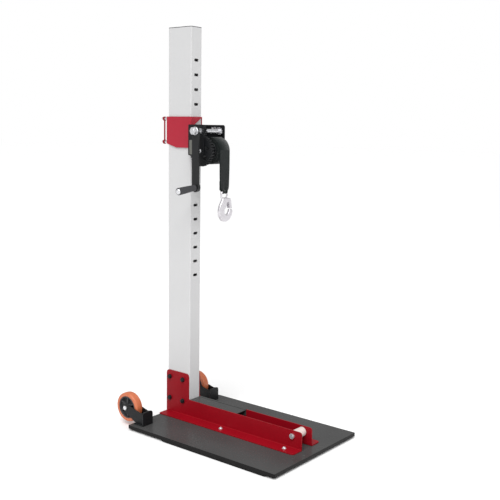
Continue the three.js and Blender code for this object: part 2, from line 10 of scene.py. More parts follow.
import bmesh
import bpy
from mathutils import Matrix, Vector
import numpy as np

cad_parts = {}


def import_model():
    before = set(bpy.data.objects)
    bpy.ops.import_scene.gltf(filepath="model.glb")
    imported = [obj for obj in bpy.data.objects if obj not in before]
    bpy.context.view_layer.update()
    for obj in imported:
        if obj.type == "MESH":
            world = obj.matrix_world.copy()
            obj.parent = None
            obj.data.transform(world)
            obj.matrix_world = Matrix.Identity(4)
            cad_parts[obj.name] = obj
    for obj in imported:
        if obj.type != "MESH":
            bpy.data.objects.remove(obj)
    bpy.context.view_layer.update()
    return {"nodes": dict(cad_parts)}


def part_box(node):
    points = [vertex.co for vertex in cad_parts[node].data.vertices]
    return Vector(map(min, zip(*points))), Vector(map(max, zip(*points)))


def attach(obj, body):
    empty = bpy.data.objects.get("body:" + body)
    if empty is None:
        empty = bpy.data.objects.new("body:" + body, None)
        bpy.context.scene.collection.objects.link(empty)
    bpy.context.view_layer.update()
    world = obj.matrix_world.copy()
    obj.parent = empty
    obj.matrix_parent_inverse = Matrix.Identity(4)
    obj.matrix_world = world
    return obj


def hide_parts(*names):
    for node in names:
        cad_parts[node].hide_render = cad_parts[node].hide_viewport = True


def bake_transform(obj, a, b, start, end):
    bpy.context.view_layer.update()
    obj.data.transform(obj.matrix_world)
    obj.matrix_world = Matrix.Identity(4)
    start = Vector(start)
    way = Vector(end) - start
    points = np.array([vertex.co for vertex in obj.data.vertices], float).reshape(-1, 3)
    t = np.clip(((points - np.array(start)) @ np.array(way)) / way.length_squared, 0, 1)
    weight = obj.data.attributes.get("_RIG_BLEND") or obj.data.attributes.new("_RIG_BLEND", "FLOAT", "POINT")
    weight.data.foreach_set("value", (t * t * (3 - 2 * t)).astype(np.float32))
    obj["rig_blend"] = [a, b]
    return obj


LOG = logging.getLogger("lifting_post")
MM = 0.001
Triple = tuple[float, float, float]
Colour = Triple
Pair = tuple[float, float]
EdgeTest = Callable[[bmesh.types.BMEdge], bool]
NEAR = 1e-4
LONG_EDGE = 0.02
CRISP = 32.0


class Axis(Enum):
    """Axis that a shape is pushed or turned along: its index, then the two in-plane indices."""

    X = (0, 1, 2)
    Y = (1, 0, 2)
    Z = (2, 0, 1)

    def point(self, along: float, a: float, b: float) -> Vector:
        """Return the point at that distance along the axis and at (a, b) across it."""
        place = [0.0, 0.0, 0.0]
        for index, value in zip(self.value, (along, a, b)):
            place[index] = value
        return Vector(place)


class Side(Enum):
    """Left or right of the post, as its front is faced from behind."""

    LEFT = "left"
    RIGHT = "right"


# ---- finishes ----
class Nodes:
    """Small wrapper that adds and links shader nodes."""

    def __init__(self, tree: bpy.types.NodeTree) -> None:
        """Keep the tree that nodes are added to.

        Args:
            tree: shader or geometry node tree.
        """
        self.tree = tree

    def add(self, kind: str, **settings: object) -> bpy.types.Node:
        """Add a node and set its properties and plain inputs.

        Args:
            kind: Blender's node type name.
            settings: properties of the node, or values of inputs named with an "in_" prefix.

        Returns:
            The new node.
        """
        node = self.tree.nodes.new(kind)
        for key, value in settings.items():
            if key.startswith("in_"):
                node.inputs[key[3:].replace("_", " ")].default_value = value
            else:
                setattr(node, key, value)
        return node

    def link(self, source: bpy.types.NodeSocket, target: bpy.types.NodeSocket) -> None:
        """Join an output socket to an input socket."""
        self.tree.links.new(source, target)

    def feed(self, target: bpy.types.NodeSocket, value: object) -> None:
        """Link a socket to an input, or set a plain value on it."""
        if isinstance(value, bpy.types.NodeSocket):
            self.link(value, target)
        else:
            target.default_value = (*value, 1.0) if isinstance(value, tuple) else value

    def place(self) -> bpy.types.NodeSocket:
        """Return the object coordinates."""
        return self.add("ShaderNodeTexCoord").outputs["Object"]

    def math(self, operation: str, a: object, b: object = 0.0) -> bpy.types.NodeSocket:
        """Add a Math node on two sockets or numbers and return its output socket.

        Args:
            operation: Blender's name of the operation.
            a: first socket or number.
            b: second socket or number.

        Returns:
            The result socket.
        """
        node = self.add("ShaderNodeMath", operation=operation)
        for socket, value in zip(node.inputs, (a, b)):
            self.feed(socket, value)
        return node.outputs[0]

    def mix(self, factor: object, a: object, b: object) -> bpy.types.NodeSocket:
        """Mix two colours by a factor and return the result socket.

        Args:
            factor: socket or number from 0 to 1.
            a: colour or socket at 0.
            b: colour or socket at 1.

        Returns:
            The mixed colour socket.
        """
        node = self.add("ShaderNodeMix", data_type="RGBA")
        for index, value in ((0, factor), (6, a), (7, b)):
            self.feed(node.inputs[index], value)
        return node.outputs[2]


@dataclass(frozen=True)
class Finish:
    """A surface finish, which makes its own procedural material.

    Noise scales (patch, grain, fleck) are per metre. A painted sheen is a lighter tone painted on all that lies above
    a set height, standing in for the light that top faces catch.
    """

    name: str
    slot: str
    colour: Colour
    shade: Colour
    worn: Colour
    rough: float = 0.4
    rough_spread: float = 0.1
    metallic: float = 0.0
    coat: float = 0.0
    specular: float = 0.5
    patch: float = 14.0
    grain: float = 900.0
    bump: float = 0.08
    wear: float = 0.5
    stretch: Triple = (1.0, 1.0, 1.0)
    # Painted sheen: how light a tone is painted on top faces, from what height, and its noise scale; it stands in for
    # the light they catch.
    painted_sheen: float = 0.0
    painted_sheen_from: float = 0.0
    painted_sheen_patch: float = 3.0
    fleck: float = 260.0
    fleck_cut: float = 0.47
    bump_depth: float = 0.0004

    def material(self) -> bpy.types.Material:
        """Return the finish's material, made once.

        Returns:
            The material with its node tree.
        """
        found = bpy.data.materials.get(self.name)
        if found is not None:
            return found
        made = bpy.data.materials.new(self.name)
        made.use_nodes = True
        made.node_tree.nodes.clear()
        nodes = Nodes(made.node_tree)
        shader = nodes.add("ShaderNodeBsdfPrincipled", in_Metallic=self.metallic)
        shader.inputs["Coat Weight"].default_value = self.coat
        shader.inputs["Specular IOR Level"].default_value = self.specular
        shader.inputs["Coat Roughness"].default_value = 0.12
        output = nodes.add("ShaderNodeOutputMaterial")
        nodes.link(shader.outputs[0], output.inputs[0])
        self.dress(nodes, shader)
        return made

    def patches(self, nodes: Nodes, scale: float, detail: float = 4.0) -> bpy.types.NodeSocket:
        """Add a noise on object coordinates and return its 0 to 1 value.

        Args:
            nodes: the material's nodes.
            scale: noise scale per metre.
            detail: octaves of the noise.

        Returns:
            The noise value socket.
        """
        turn = nodes.add("ShaderNodeMapping", in_Scale=self.stretch)
        noise = nodes.add("ShaderNodeTexNoise", in_Scale=scale, in_Detail=detail)
        nodes.link(nodes.place(), turn.inputs["Vector"])
        nodes.link(turn.outputs[0], noise.inputs["Vector"])
        return noise.outputs[0]

    def relief(self, nodes: Nodes) -> bpy.types.NodeSocket:
        """Return the height that the bump reads."""
        return self.patches(nodes, self.grain, 2.0)

    def painted_top_sheen(self, nodes: Nodes, tone: bpy.types.NodeSocket) -> bpy.types.NodeSocket:
        """Paint a sheen on what lies above a height: a lighter tone that stands in for the light that top faces catch.

        Args:
            nodes: the material's nodes.
            tone: the colour without the painted sheen.

        Returns:
            The colour with the painted sheen.
        """
        split = nodes.add("ShaderNodeSeparateXYZ")
        nodes.link(nodes.place(), split.inputs[0])
        above = nodes.math("GREATER_THAN", split.outputs[2], self.painted_sheen_from)
        amount = nodes.math("MULTIPLY", above, nodes.math("ADD", self.patches(nodes, self.painted_sheen_patch), 0.4))
        return nodes.mix(amount, tone, (self.painted_sheen, self.painted_sheen, self.painted_sheen))

    def dress(self, nodes: Nodes, shader: bpy.types.Node) -> None:
        """Link colour, roughness and bump to the shader.

        Args:
            nodes: the material's nodes.
            shader: the Principled node.
        """
        broad = self.patches(nodes, self.patch)
        tone = nodes.mix(nodes.math("MULTIPLY", broad, 0.9), self.colour, self.shade)
        # Painted sheen: the top faces are lightened to stand in for the light they catch.
        if self.painted_sheen > 0:
            tone = self.painted_top_sheen(nodes, tone)
        edge = nodes.add("ShaderNodeAttribute", attribute_name="edge_wear")
        fleck = nodes.math("GREATER_THAN", self.patches(nodes, self.fleck), self.fleck_cut)
        worn = nodes.math("MULTIPLY", nodes.math("MULTIPLY", edge.outputs["Fac"], fleck), self.wear)
        nodes.link(nodes.mix(worn, tone, self.worn), shader.inputs["Base Color"])
        spread = nodes.math("MULTIPLY", nodes.math("SUBTRACT", self.patches(nodes, self.patch * 4), 0.5),
                            self.rough_spread)
        nodes.link(nodes.math("ADD", spread, self.rough), shader.inputs["Roughness"])
        bump = nodes.add("ShaderNodeBump", in_Strength=self.bump, in_Distance=self.bump_depth)
        nodes.link(self.relief(nodes), bump.inputs["Height"])
        nodes.link(bump.outputs[0], shader.inputs["Normal"])


@dataclass(frozen=True)
class Zinc(Finish):
    """Zinc-plated steel with a faint crystal spangle."""

    spangle: float = 420.0

    def relief(self, nodes: Nodes) -> bpy.types.NodeSocket:
        """Return a spangle of small flat crystals over fine noise.

        Args:
            nodes: the material's nodes.

        Returns:
            The height socket.
        """
        cells = nodes.add("ShaderNodeTexVoronoi", in_Scale=self.spangle)
        nodes.link(nodes.place(), cells.inputs["Vector"])
        return nodes.math("ADD", cells.outputs["Distance"], self.patches(nodes, self.grain, 2.0))


@dataclass(frozen=True)
class Webbing(Finish):
    """Woven strap: ribs of yarn across and a twill along, on the strap's own UV map in metres."""

    yarn: float = 0.0022
    pick: float = 0.0016
    # How strongly painted shade darkens the gaps between yarns.
    gap: float = 0.7
    sheen: float = 0.25

    def weave(self, nodes: Nodes) -> bpy.types.NodeSocket:
        """Return the height of the weave, 0 between yarns and 1 on them.

        Args:
            nodes: the material's nodes.

        Returns:
            The height socket.
        """
        place = nodes.add("ShaderNodeUVMap", uv_map="strap")
        split = nodes.add("ShaderNodeSeparateXYZ")
        nodes.link(place.outputs[0], split.inputs[0])
        across = nodes.math("MULTIPLY", split.outputs[0], 2 * math.pi / self.yarn)
        along = nodes.math("MULTIPLY", split.outputs[1], 2 * math.pi / self.pick)
        slant = nodes.math("ADD", along, nodes.math("MULTIPLY", across, 0.5))
        ribs = nodes.math("ABSOLUTE", nodes.math("SINE", nodes.math("MULTIPLY", across, 0.5)))
        twill = nodes.math("ABSOLUTE", nodes.math("SINE", nodes.math("MULTIPLY", slant, 0.5)))
        return nodes.math("MULTIPLY", nodes.math("POWER", ribs, 0.6), nodes.math("POWER", twill, 0.5))

    def relief(self, nodes: Nodes) -> bpy.types.NodeSocket:
        """Return the weave as the bump's height."""
        return self.weave(nodes)

    def dress(self, nodes: Nodes, shader: bpy.types.Node) -> None:
        """Paint shade into the gaps between yarns, as well as what every finish does.

        Args:
            nodes: the material's nodes.
            shader: the Principled node.
        """
        super().dress(nodes, shader)
        before = shader.inputs["Base Color"].links[0].from_socket
        # Painted shade: the gaps between yarns are darkened towards the shade colour.
        gap = nodes.math("SUBTRACT", 1.0, self.weave(nodes))
        painted_gap_shade = nodes.math("MULTIPLY", gap, self.gap)
        nodes.link(nodes.mix(painted_gap_shade, before, self.shade), shader.inputs["Base Color"])
        shader.inputs["Sheen Weight"].default_value = self.sheen
        shader.inputs["Sheen Roughness"].default_value = 0.5


# Darker copy of the red paint, for the side plates and the handle bar: painted shade, as the collar's brighter red is
# the same paint where more light falls.
SHADED_RED = Finish("red_coat", "red_paint", (0.30, 0.0035, 0.011), (0.225, 0.003, 0.008), (0.42, 0.11, 0.10),
             rough=0.36, specular=0.14, grain=1400.0, bump=0.05, wear=0.35)
COLLAR_RED = Finish("collar_red_coat", "red_paint", (0.40, 0.014, 0.034), (0.33, 0.010, 0.026), (0.55, 0.18, 0.18),
                    rough=0.36, coat=0.15, specular=0.3, grain=1400.0, bump=0.05, wear=0.35)
# The base's black gets a painted sheen on its top faces, a lighter tone that stands in for the light they catch.
BASE_BLACK = Finish("base_gloss_black", "black_paint", (0.008, 0.0076, 0.008), (0.014, 0.013, 0.013),
                    (0.018, 0.018, 0.018), rough=0.26, rough_spread=0.12, specular=0.09, painted_sheen=0.064,
                    painted_sheen_from=0.0176, grain=1100.0, bump=0.05, wear=0.5)
BLACK = Finish("satin_black", "black_paint", (0.006, 0.0064, 0.0074), (0.011, 0.0115, 0.013), (0.06, 0.06, 0.063),
               rough=0.42, specular=0.22, grain=1500.0, bump=0.12, wear=0.6)
ARM_BLACK = Finish("arm_black", "black_paint", (0.010, 0.0105, 0.0115), (0.017, 0.018, 0.019), (0.09, 0.09, 0.094),
                   rough=0.44, specular=0.3, grain=1500.0, bump=0.12, wear=0.5)
COLUMN_GREY = Finish("column_grey", "grey_paint", (0.585, 0.585, 0.588), (0.535, 0.535, 0.54), (0.68, 0.68, 0.69),
                     rough=0.38, coat=0.15, grain=1300.0, bump=0.05, wear=0.4, patch=7.0)
LABEL = Finish("plain_label", "grey_paint", (0.17, 0.17, 0.15), (0.075, 0.075, 0.068), (0.28, 0.28, 0.26),
               rough=0.5, patch=120.0, grain=900.0, bump=0.03, wear=0.2)
ZINC = Zinc("zinc_plate", "zinc", (0.80, 0.80, 0.82), (0.62, 0.63, 0.66), (0.9, 0.9, 0.9),
            rough=0.28, rough_spread=0.16, metallic=0.75, patch=60.0, bump=0.04, wear=0.4)
HOOK_ZINC = Zinc("hook_zinc", "zinc", (0.78, 0.76, 0.79), (0.60, 0.58, 0.61), (0.85, 0.85, 0.85),
                 rough=0.38, rough_spread=0.16, metallic=0.7, patch=90.0, bump=0.22, wear=0.4)
NYLON = Finish("cream_nylon", "nylon", (0.69, 0.59, 0.56), (0.60, 0.50, 0.47), (0.86, 0.78, 0.75),
               rough=0.42, grain=600.0, bump=0.08, patch=30.0, stretch=(0.15, 1.0, 1.0), wear=0.3)
TREAD = Finish("orange_tread", "polyurethane", (0.58, 0.165, 0.068), (0.48, 0.12, 0.048), (0.68, 0.27, 0.15),
               rough=0.4, coat=0.15, grain=700.0, bump=0.14, patch=30.0, wear=0.4)
PLASTIC = Finish("black_plastic", "black_plastic", (0.010, 0.0105, 0.011), (0.017, 0.0175, 0.018),
                 (0.06, 0.06, 0.065), rough=0.5, specular=0.08, grain=1900.0, bump=0.25, patch=40.0, wear=0.4)
# The webbing's shade colour is both its random darker tone and the painted shade in the gaps between yarns.
STRAP_WEB = Webbing("black_webbing", "webbing", (0.0045, 0.0095, 0.009), (0.002, 0.0036, 0.0035),
                    (0.02, 0.026, 0.025), rough=0.85, specular=0.05, bump=0.5, patch=24.0, wear=0.5)
THREAD = Finish("stitch_thread", "webbing", (0.018, 0.022, 0.022), (0.010, 0.012, 0.012), (0.04, 0.04, 0.04),
                rough=0.7, grain=2600.0, bump=0.4, patch=90.0)


# ---- shapes ----
def linked(name: str, data: bpy.types.ID) -> bpy.types.Object:
    """Put an object of that data in the scene and return it."""
    thing = bpy.data.objects.new(name, data)
    bpy.context.scene.collection.objects.link(thing)
    return thing


def plain(name: str, mesh: bmesh.types.BMesh) -> bpy.types.Mesh:
    """Write a bmesh to a plain mesh, free it and return the mesh."""
    data = bpy.data.meshes.new(name)
    mesh.to_mesh(data)
    mesh.free()
    return data


def evaluated(thing: bpy.types.Object) -> bpy.types.Mesh:
    """Return a plain mesh of an object with its modifiers applied."""
    bpy.context.view_layer.update()
    return bpy.data.meshes.new_from_object(thing.evaluated_get(bpy.context.evaluated_depsgraph_get()))


def shaded(mesh: bmesh.types.BMesh, smooth: float = CRISP) -> None:
    """Shade a solid smooth, but keep edges sharper than that many degrees crisp."""
    for edge in mesh.edges:
        edge.smooth = edge.is_manifold and edge.calc_face_angle(0) < math.radians(smooth)
    for face in mesh.faces:
        face.smooth = True


def round_box(node: str) -> tuple[Pair, float]:
    """Return where a round node's axis lies across X, and its radius.

    Args:
        node: name of the frame node, which is round about X.

    Returns:
        The (y, z) of its axis and its radius.
    """
    low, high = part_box(node)
    return ((low.y + high.y) / 2, (low.z + high.z) / 2), (high.z - low.z) / 2


def rounded(corners: Sequence[tuple[float, ...]], steps: int = 5) -> list[Pair]:
    """Return a closed outline with each corner rounded by its own radius.

    Args:
        corners: (a, b) or (a, b, radius) for each corner.
        steps: straight pieces in each rounded corner.

    Returns:
        The points of the outline in order.
    """
    points: list[Pair] = []
    count = len(corners)
    for i, corner in enumerate(corners):
        here = Vector(corner[:2])
        radius = corner[2] if len(corner) > 2 else 0.0
        if radius <= 0:
            points.append((here.x, here.y))
            continue
        before = (Vector(corners[i - 1][:2]) - here).normalized()
        after = (Vector(corners[(i + 1) % count][:2]) - here).normalized()
        half = math.acos(max(-1.0, min(1.0, before.dot(after)))) / 2
        centre = here + (before + after).normalized() * (radius / math.sin(half))
        start = here + before * (radius / math.tan(half)) - centre
        turn = start.angle_signed(here + after * (radius / math.tan(half)) - centre)
        for k in range(steps + 1):
            spin = Matrix.Rotation(-turn * k / steps, 2)
            spot = centre + spin @ start
            points.append((spot.x, spot.y))
    return points


def new_bmesh() -> bmesh.types.BMesh:
    """Return an empty bmesh that already has the face layer for worn edges."""
    mesh = bmesh.new()
    mesh.faces.layers.float.new("edge_wear")
    return mesh


def prism(outline: Sequence[Pair], axis: Axis, low: float, high: float) -> bmesh.types.BMesh:
    """Push an outline along an axis into a closed solid.

    Args:
        outline: points across the axis.
        axis: direction of the push.
        low: where the solid starts along the axis.
        high: where it ends.

    Returns:
        The solid, with outward faces.
    """
    mesh = new_bmesh()
    rings = [[mesh.verts.new(axis.point(level, a, b)) for a, b in outline] for level in (low, high)]
    for ring in rings:
        mesh.faces.new(ring)
    for i in range(len(outline)):
        j = (i + 1) % len(outline)
        mesh.faces.new((rings[0][i], rings[0][j], rings[1][j], rings[1][i]))
    bmesh.ops.recalc_face_normals(mesh, faces=mesh.faces)
    return mesh


def turned(profile: Sequence[Pair], axis: Axis, centre: Pair, steps: int = 48) -> bmesh.types.BMesh:
    """Turn a profile about an axis line into a closed solid.

    Args:
        profile: (distance along the axis, radius) points; ends of radius 0 close as poles, else it closes on itself.
        axis: direction of the axis line.
        centre: where the line crosses the plane across it.
        steps: sides of the turned shape.

    Returns:
        The solid, with outward faces.
    """
    mesh = new_bmesh()
    rings: list[list[bmesh.types.BMVert]] = []
    for along, radius in profile:
        if radius <= 0:
            rings.append([mesh.verts.new(axis.point(along, *centre))])
            continue
        rings.append([mesh.verts.new(axis.point(along, centre[0] + radius * math.cos(2 * math.pi * k / steps),
                                                centre[1] + radius * math.sin(2 * math.pi * k / steps)))
                      for k in range(steps)])
    pairs = list(zip(rings, rings[1:]))
    if profile[0][1] > 0:
        pairs.append((rings[-1], rings[0]))
    for first, second in pairs:
        for k in range(steps):
            j = (k + 1) % steps
            loop = ([first[0]] if len(first) == 1 else [first[k], first[j]])
            loop += ([second[0]] if len(second) == 1 else [second[j], second[k]])
            mesh.faces.new(loop)
    bmesh.ops.recalc_face_normals(mesh, faces=mesh.faces)
    return mesh


def hexagon_head(across: float, height: float, soft: float, seat: Sequence[float],
                 turn: float = 0.0) -> bmesh.types.BMesh:
    """Build a hexagon head with the usual 30 degree chamfer and eased edges.

    Args:
        across: width across the flats.
        height: height of the head.
        soft: width of its eased edges.
        seat: centre of its underside.
        turn: degrees that it is turned about Y from standing along +Z.

    Returns:
        The solid, with outward faces.
    """
    sides = 48
    flat = across / 2
    chamfer = 0.95
    rings: list[list[Vector]] = [[], [], []]
    for k in range(sides):
        angle = 2 * math.pi * k / sides
        reach = flat / math.cos((angle + math.pi / 6) % (math.pi / 3) - math.pi / 6)
        drop = max(0.0, reach - flat * chamfer) * math.tan(math.radians(30))
        way = Vector((math.cos(angle), math.sin(angle), 0))
        rings[0].append(way * reach)
        rings[1].append(way * reach + Vector((0, 0, height - drop)))
        rings[2].append(way * flat * chamfer + Vector((0, 0, height)))
    mesh = new_bmesh()
    rows = [[mesh.verts.new(spot) for spot in ring] for ring in rings]
    mesh.faces.new(rows[0])
    mesh.faces.new(rows[-1])
    for first, second in zip(rows, rows[1:]):
        for k in range(sides):
            j = (k + 1) % sides
            mesh.faces.new((first[k], first[j], second[j], second[k]))
    bmesh.ops.recalc_face_normals(mesh, faces=mesh.faces)
    return moved(ease(mesh, soft, 1), Matrix.Translation(seat) @ Matrix.Rotation(math.radians(turn), 4, "Y"))


def merged(parts: Sequence[bmesh.types.BMesh]) -> bmesh.types.BMesh:
    """Put several closed solids in one mesh and free the parts.

    Args:
        parts: the solids.

    Returns:
        One bmesh with them all.
    """
    whole = new_bmesh()
    for part in parts:
        holder = plain("part", part)
        whole.from_mesh(holder)
        bpy.data.meshes.remove(holder)
    return whole


def moved(mesh: bmesh.types.BMesh, matrix: Matrix) -> bmesh.types.BMesh:
    """Place a solid by a matrix and return it."""
    bmesh.ops.transform(mesh, matrix=matrix, verts=mesh.verts)
    return mesh


def ease(mesh: bmesh.types.BMesh, width: float, segments: int = 2, pick: EdgeTest | None = None,
         angle: float = 34.0, worn: float = 1.0) -> bmesh.types.BMesh:
    """Round the sharp edges of a solid and mark the new faces as worn edge.

    Args:
        mesh: the solid.
        width: width of the rounding.
        segments: faces across the rounding.
        pick: which sharp edges to round; all of them if left out.
        angle: how sharp an edge has to be, in degrees.
        worn: value written on the new faces.

    Returns:
        The same mesh.
    """
    layer = mesh.faces.layers.float["edge_wear"]
    edges = [e for e in mesh.edges
             if e.is_manifold and e.calc_face_angle(0) > math.radians(angle) and (pick is None or pick(e))]
    if edges:
        made = bmesh.ops.bevel(mesh, geom=edges, offset=width, offset_type="OFFSET", segments=segments,
                               profile=0.5, clamp_overlap=True, affect="EDGES")
        for face in made["faces"]:
            face[layer] = worn
    return mesh


def runs_along(axis: Axis, *spots: Pair) -> EdgeTest:
    """Return a test for the long edges that run along an axis through one of some places.

    Args:
        axis: direction of the edges.
        spots: (a, b) places across the axis.

    Returns:
        The test.
    """
    along, first, second = axis.value

    def test(edge: bmesh.types.BMEdge) -> bool:
        """Say whether an edge is one of them."""
        a, b = (v.co for v in edge.verts)
        straight = max(abs(a[first] - b[first]), abs(a[second] - b[second])) < NEAR
        there = any(max(abs(a[first] - u), abs(a[second] - v)) < NEAR for u, v in spots)
        return straight and there and abs(a[along] - b[along]) > LONG_EDGE

    return test


def copied(node: str) -> bmesh.types.BMesh:
    """Copy a frame node's solid, merged and with its flat faces whole.

    Args:
        node: name of the frame node.

    Returns:
        The copy.
    """
    mesh = new_bmesh()
    mesh.from_mesh(bpy.data.objects[node].data)
    if mesh.faces.layers.float.get("edge_wear") is None:
        mesh.faces.layers.float.new("edge_wear")
    bmesh.ops.remove_doubles(mesh, verts=mesh.verts, dist=2e-6)
    bmesh.ops.dissolve_limit(mesh, angle_limit=math.radians(0.7), verts=mesh.verts, edges=mesh.edges)
    return mesh


@dataclass
class Maker:
    """Turns solids into finished pieces of one body."""

    body: str

    def piece(self, name: str, mesh: bmesh.types.BMesh, finish: Finish, replaces: Sequence[str] = (),
              smooth: float = CRISP, weighted: bool = True) -> bpy.types.Object:
        """Make a piece from a solid, dress it and let it ride on the body.

        Args:
            name: name of the piece.
            mesh: its solid, which is freed.
            finish: its finish.
            replaces: frame nodes it stands for.
            smooth: edges sharper than this many degrees stay crisp.
            weighted: whether large faces keep their own normal.

        Returns:
            The piece.
        """
        shaded(mesh, smooth)
        return self.adopt(name, plain(name, mesh), finish, replaces, weighted)

    def adopt(self, name: str, data: bpy.types.Mesh, finish: Finish, replaces: Sequence[str] = (),
              weighted: bool = False) -> bpy.types.Object:
        """Make a piece of a finished mesh.

        Args:
            name: name of the piece.
            data: its mesh.
            finish: its finish.
            replaces: frame nodes it stands for.
            weighted: whether large faces keep their own normal.

        Returns:
            The piece.
        """
        thing = linked(name, data)
        data.materials.clear()
        data.materials.append(finish.material())
        if weighted:
            modifier = thing.modifiers.new("weighted", "WEIGHTED_NORMAL")
            modifier.keep_sharp = True
        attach(thing, self.body)
        if replaces:
            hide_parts(*replaces)
        LOG.info("%s on %s, %d faces", name, self.body, len(data.polygons))
        return thing

    def softened(self, node: str, finish: Finish, width: float = 0.5 * MM, segments: int = 2,
                 smooth: float = CRISP) -> bpy.types.Object:
        """Stand a copy of a node with eased edges in its place.

        Args:
            node: the frame node.
            finish: its finish.
            width: width of the eased edge.
            segments: faces across it.
            smooth: edges sharper than this many degrees stay crisp.

        Returns:
            The piece.
        """
        return self.piece(f"{node}_fine", ease(copied(node), width, segments), finish, (node,), smooth)


@dataclass
class Repeater:
    """Geometry Nodes tree that puts a template on every guide point and turns each copy by its index."""

    name: str
    axis: Triple = (1.0, 0.0, 0.0)
    step: float = 0.0
    spin: float = 0.0
    seed: int = 5

    def tree(self) -> bpy.types.NodeTree:
        """Build the node tree with its named inputs.

        Returns:
            The tree.
        """
        tree = bpy.data.node_groups.new(self.name, "GeometryNodeTree")
        face = tree.interface
        face.new_socket("Guide", in_out="INPUT", socket_type="NodeSocketGeometry")
        for label, kind in (("Template", "Object"), ("Axis", "Vector"), ("Step", "Float"), ("Spin", "Float"),
                            ("Seed", "Int"), ("Finish", "Material")):
            face.new_socket(label, in_out="INPUT", socket_type=f"NodeSocket{kind}")
        face.new_socket("Pieces", in_out="OUTPUT", socket_type="NodeSocketGeometry")
        nodes = Nodes(tree)
        given = nodes.add("NodeGroupInput").outputs
        template = nodes.add("GeometryNodeObjectInfo", transform_space="ORIGINAL")
        nodes.link(given["Template"], template.inputs["Object"])
        number = nodes.add("GeometryNodeInputIndex").outputs[0]
        chance = nodes.add("FunctionNodeRandomValue", data_type="FLOAT")
        floats = [s for s in chance.inputs if s.type == "VALUE" and s.name in ("Min", "Max")]
        nodes.link(nodes.math("MULTIPLY", given["Spin"], -1.0), floats[0])
        nodes.link(given["Spin"], floats[1])
        nodes.link(given["Seed"], chance.inputs["Seed"])
        drawn = next(s for s in chance.outputs if s.type == "VALUE" and s.enabled)
        turn = nodes.math("ADD", nodes.math("MULTIPLY", number, given["Step"]), drawn)
        spread = nodes.add("ShaderNodeVectorMath", operation="SCALE")
        nodes.link(given["Axis"], spread.inputs[0])
        nodes.link(turn, spread.inputs["Scale"])
        place = nodes.add("GeometryNodeInstanceOnPoints")
        nodes.link(given["Guide"], place.inputs["Points"])
        nodes.link(template.outputs["Geometry"], place.inputs["Instance"])
        nodes.link(spread.outputs[0], place.inputs["Rotation"])
        real = nodes.add("GeometryNodeRealizeInstances")
        nodes.link(place.outputs[0], real.inputs[0])
        dress = nodes.add("GeometryNodeSetMaterial")
        nodes.link(real.outputs[0], dress.inputs["Geometry"])
        nodes.link(given["Finish"], dress.inputs["Material"])
        nodes.link(dress.outputs[0], nodes.add("NodeGroupOutput").inputs[0])
        return tree

    def build(self, template: bmesh.types.BMesh, places: Sequence[Vector], finish: Finish,
              smooth: float = CRISP) -> bpy.types.Mesh:
        """Repeat a template on the places and return the plain mesh.

        Args:
            template: solid about the origin, which is freed.
            places: where each copy goes.
            finish: material that the tree sets.
            smooth: edges sharper than this many degrees stay crisp.

        Returns:
            The finished mesh.
        """
        shaded(template, smooth)
        source = linked(f"{self.name}_template", plain(f"{self.name}_template", template))
        guide = bpy.data.meshes.new(f"{self.name}_guide")
        guide.from_pydata([tuple(p) for p in places], [], [])
        holder = linked(guide.name, guide)
        modifier = holder.modifiers.new("repeat", "NODES")
        modifier.node_group = self.tree()
        values = {"Template": source, "Axis": self.axis, "Step": self.step, "Spin": self.spin, "Seed": self.seed,
                  "Finish": finish.material()}
        for item in modifier.node_group.interface.items_tree:
            if item.name in values:
                modifier[item.identifier] = values[item.name]
        result = evaluated(holder)
        holder.modifiers.clear()
        for thing in (holder, source):
            bpy.data.objects.remove(thing)
        return result


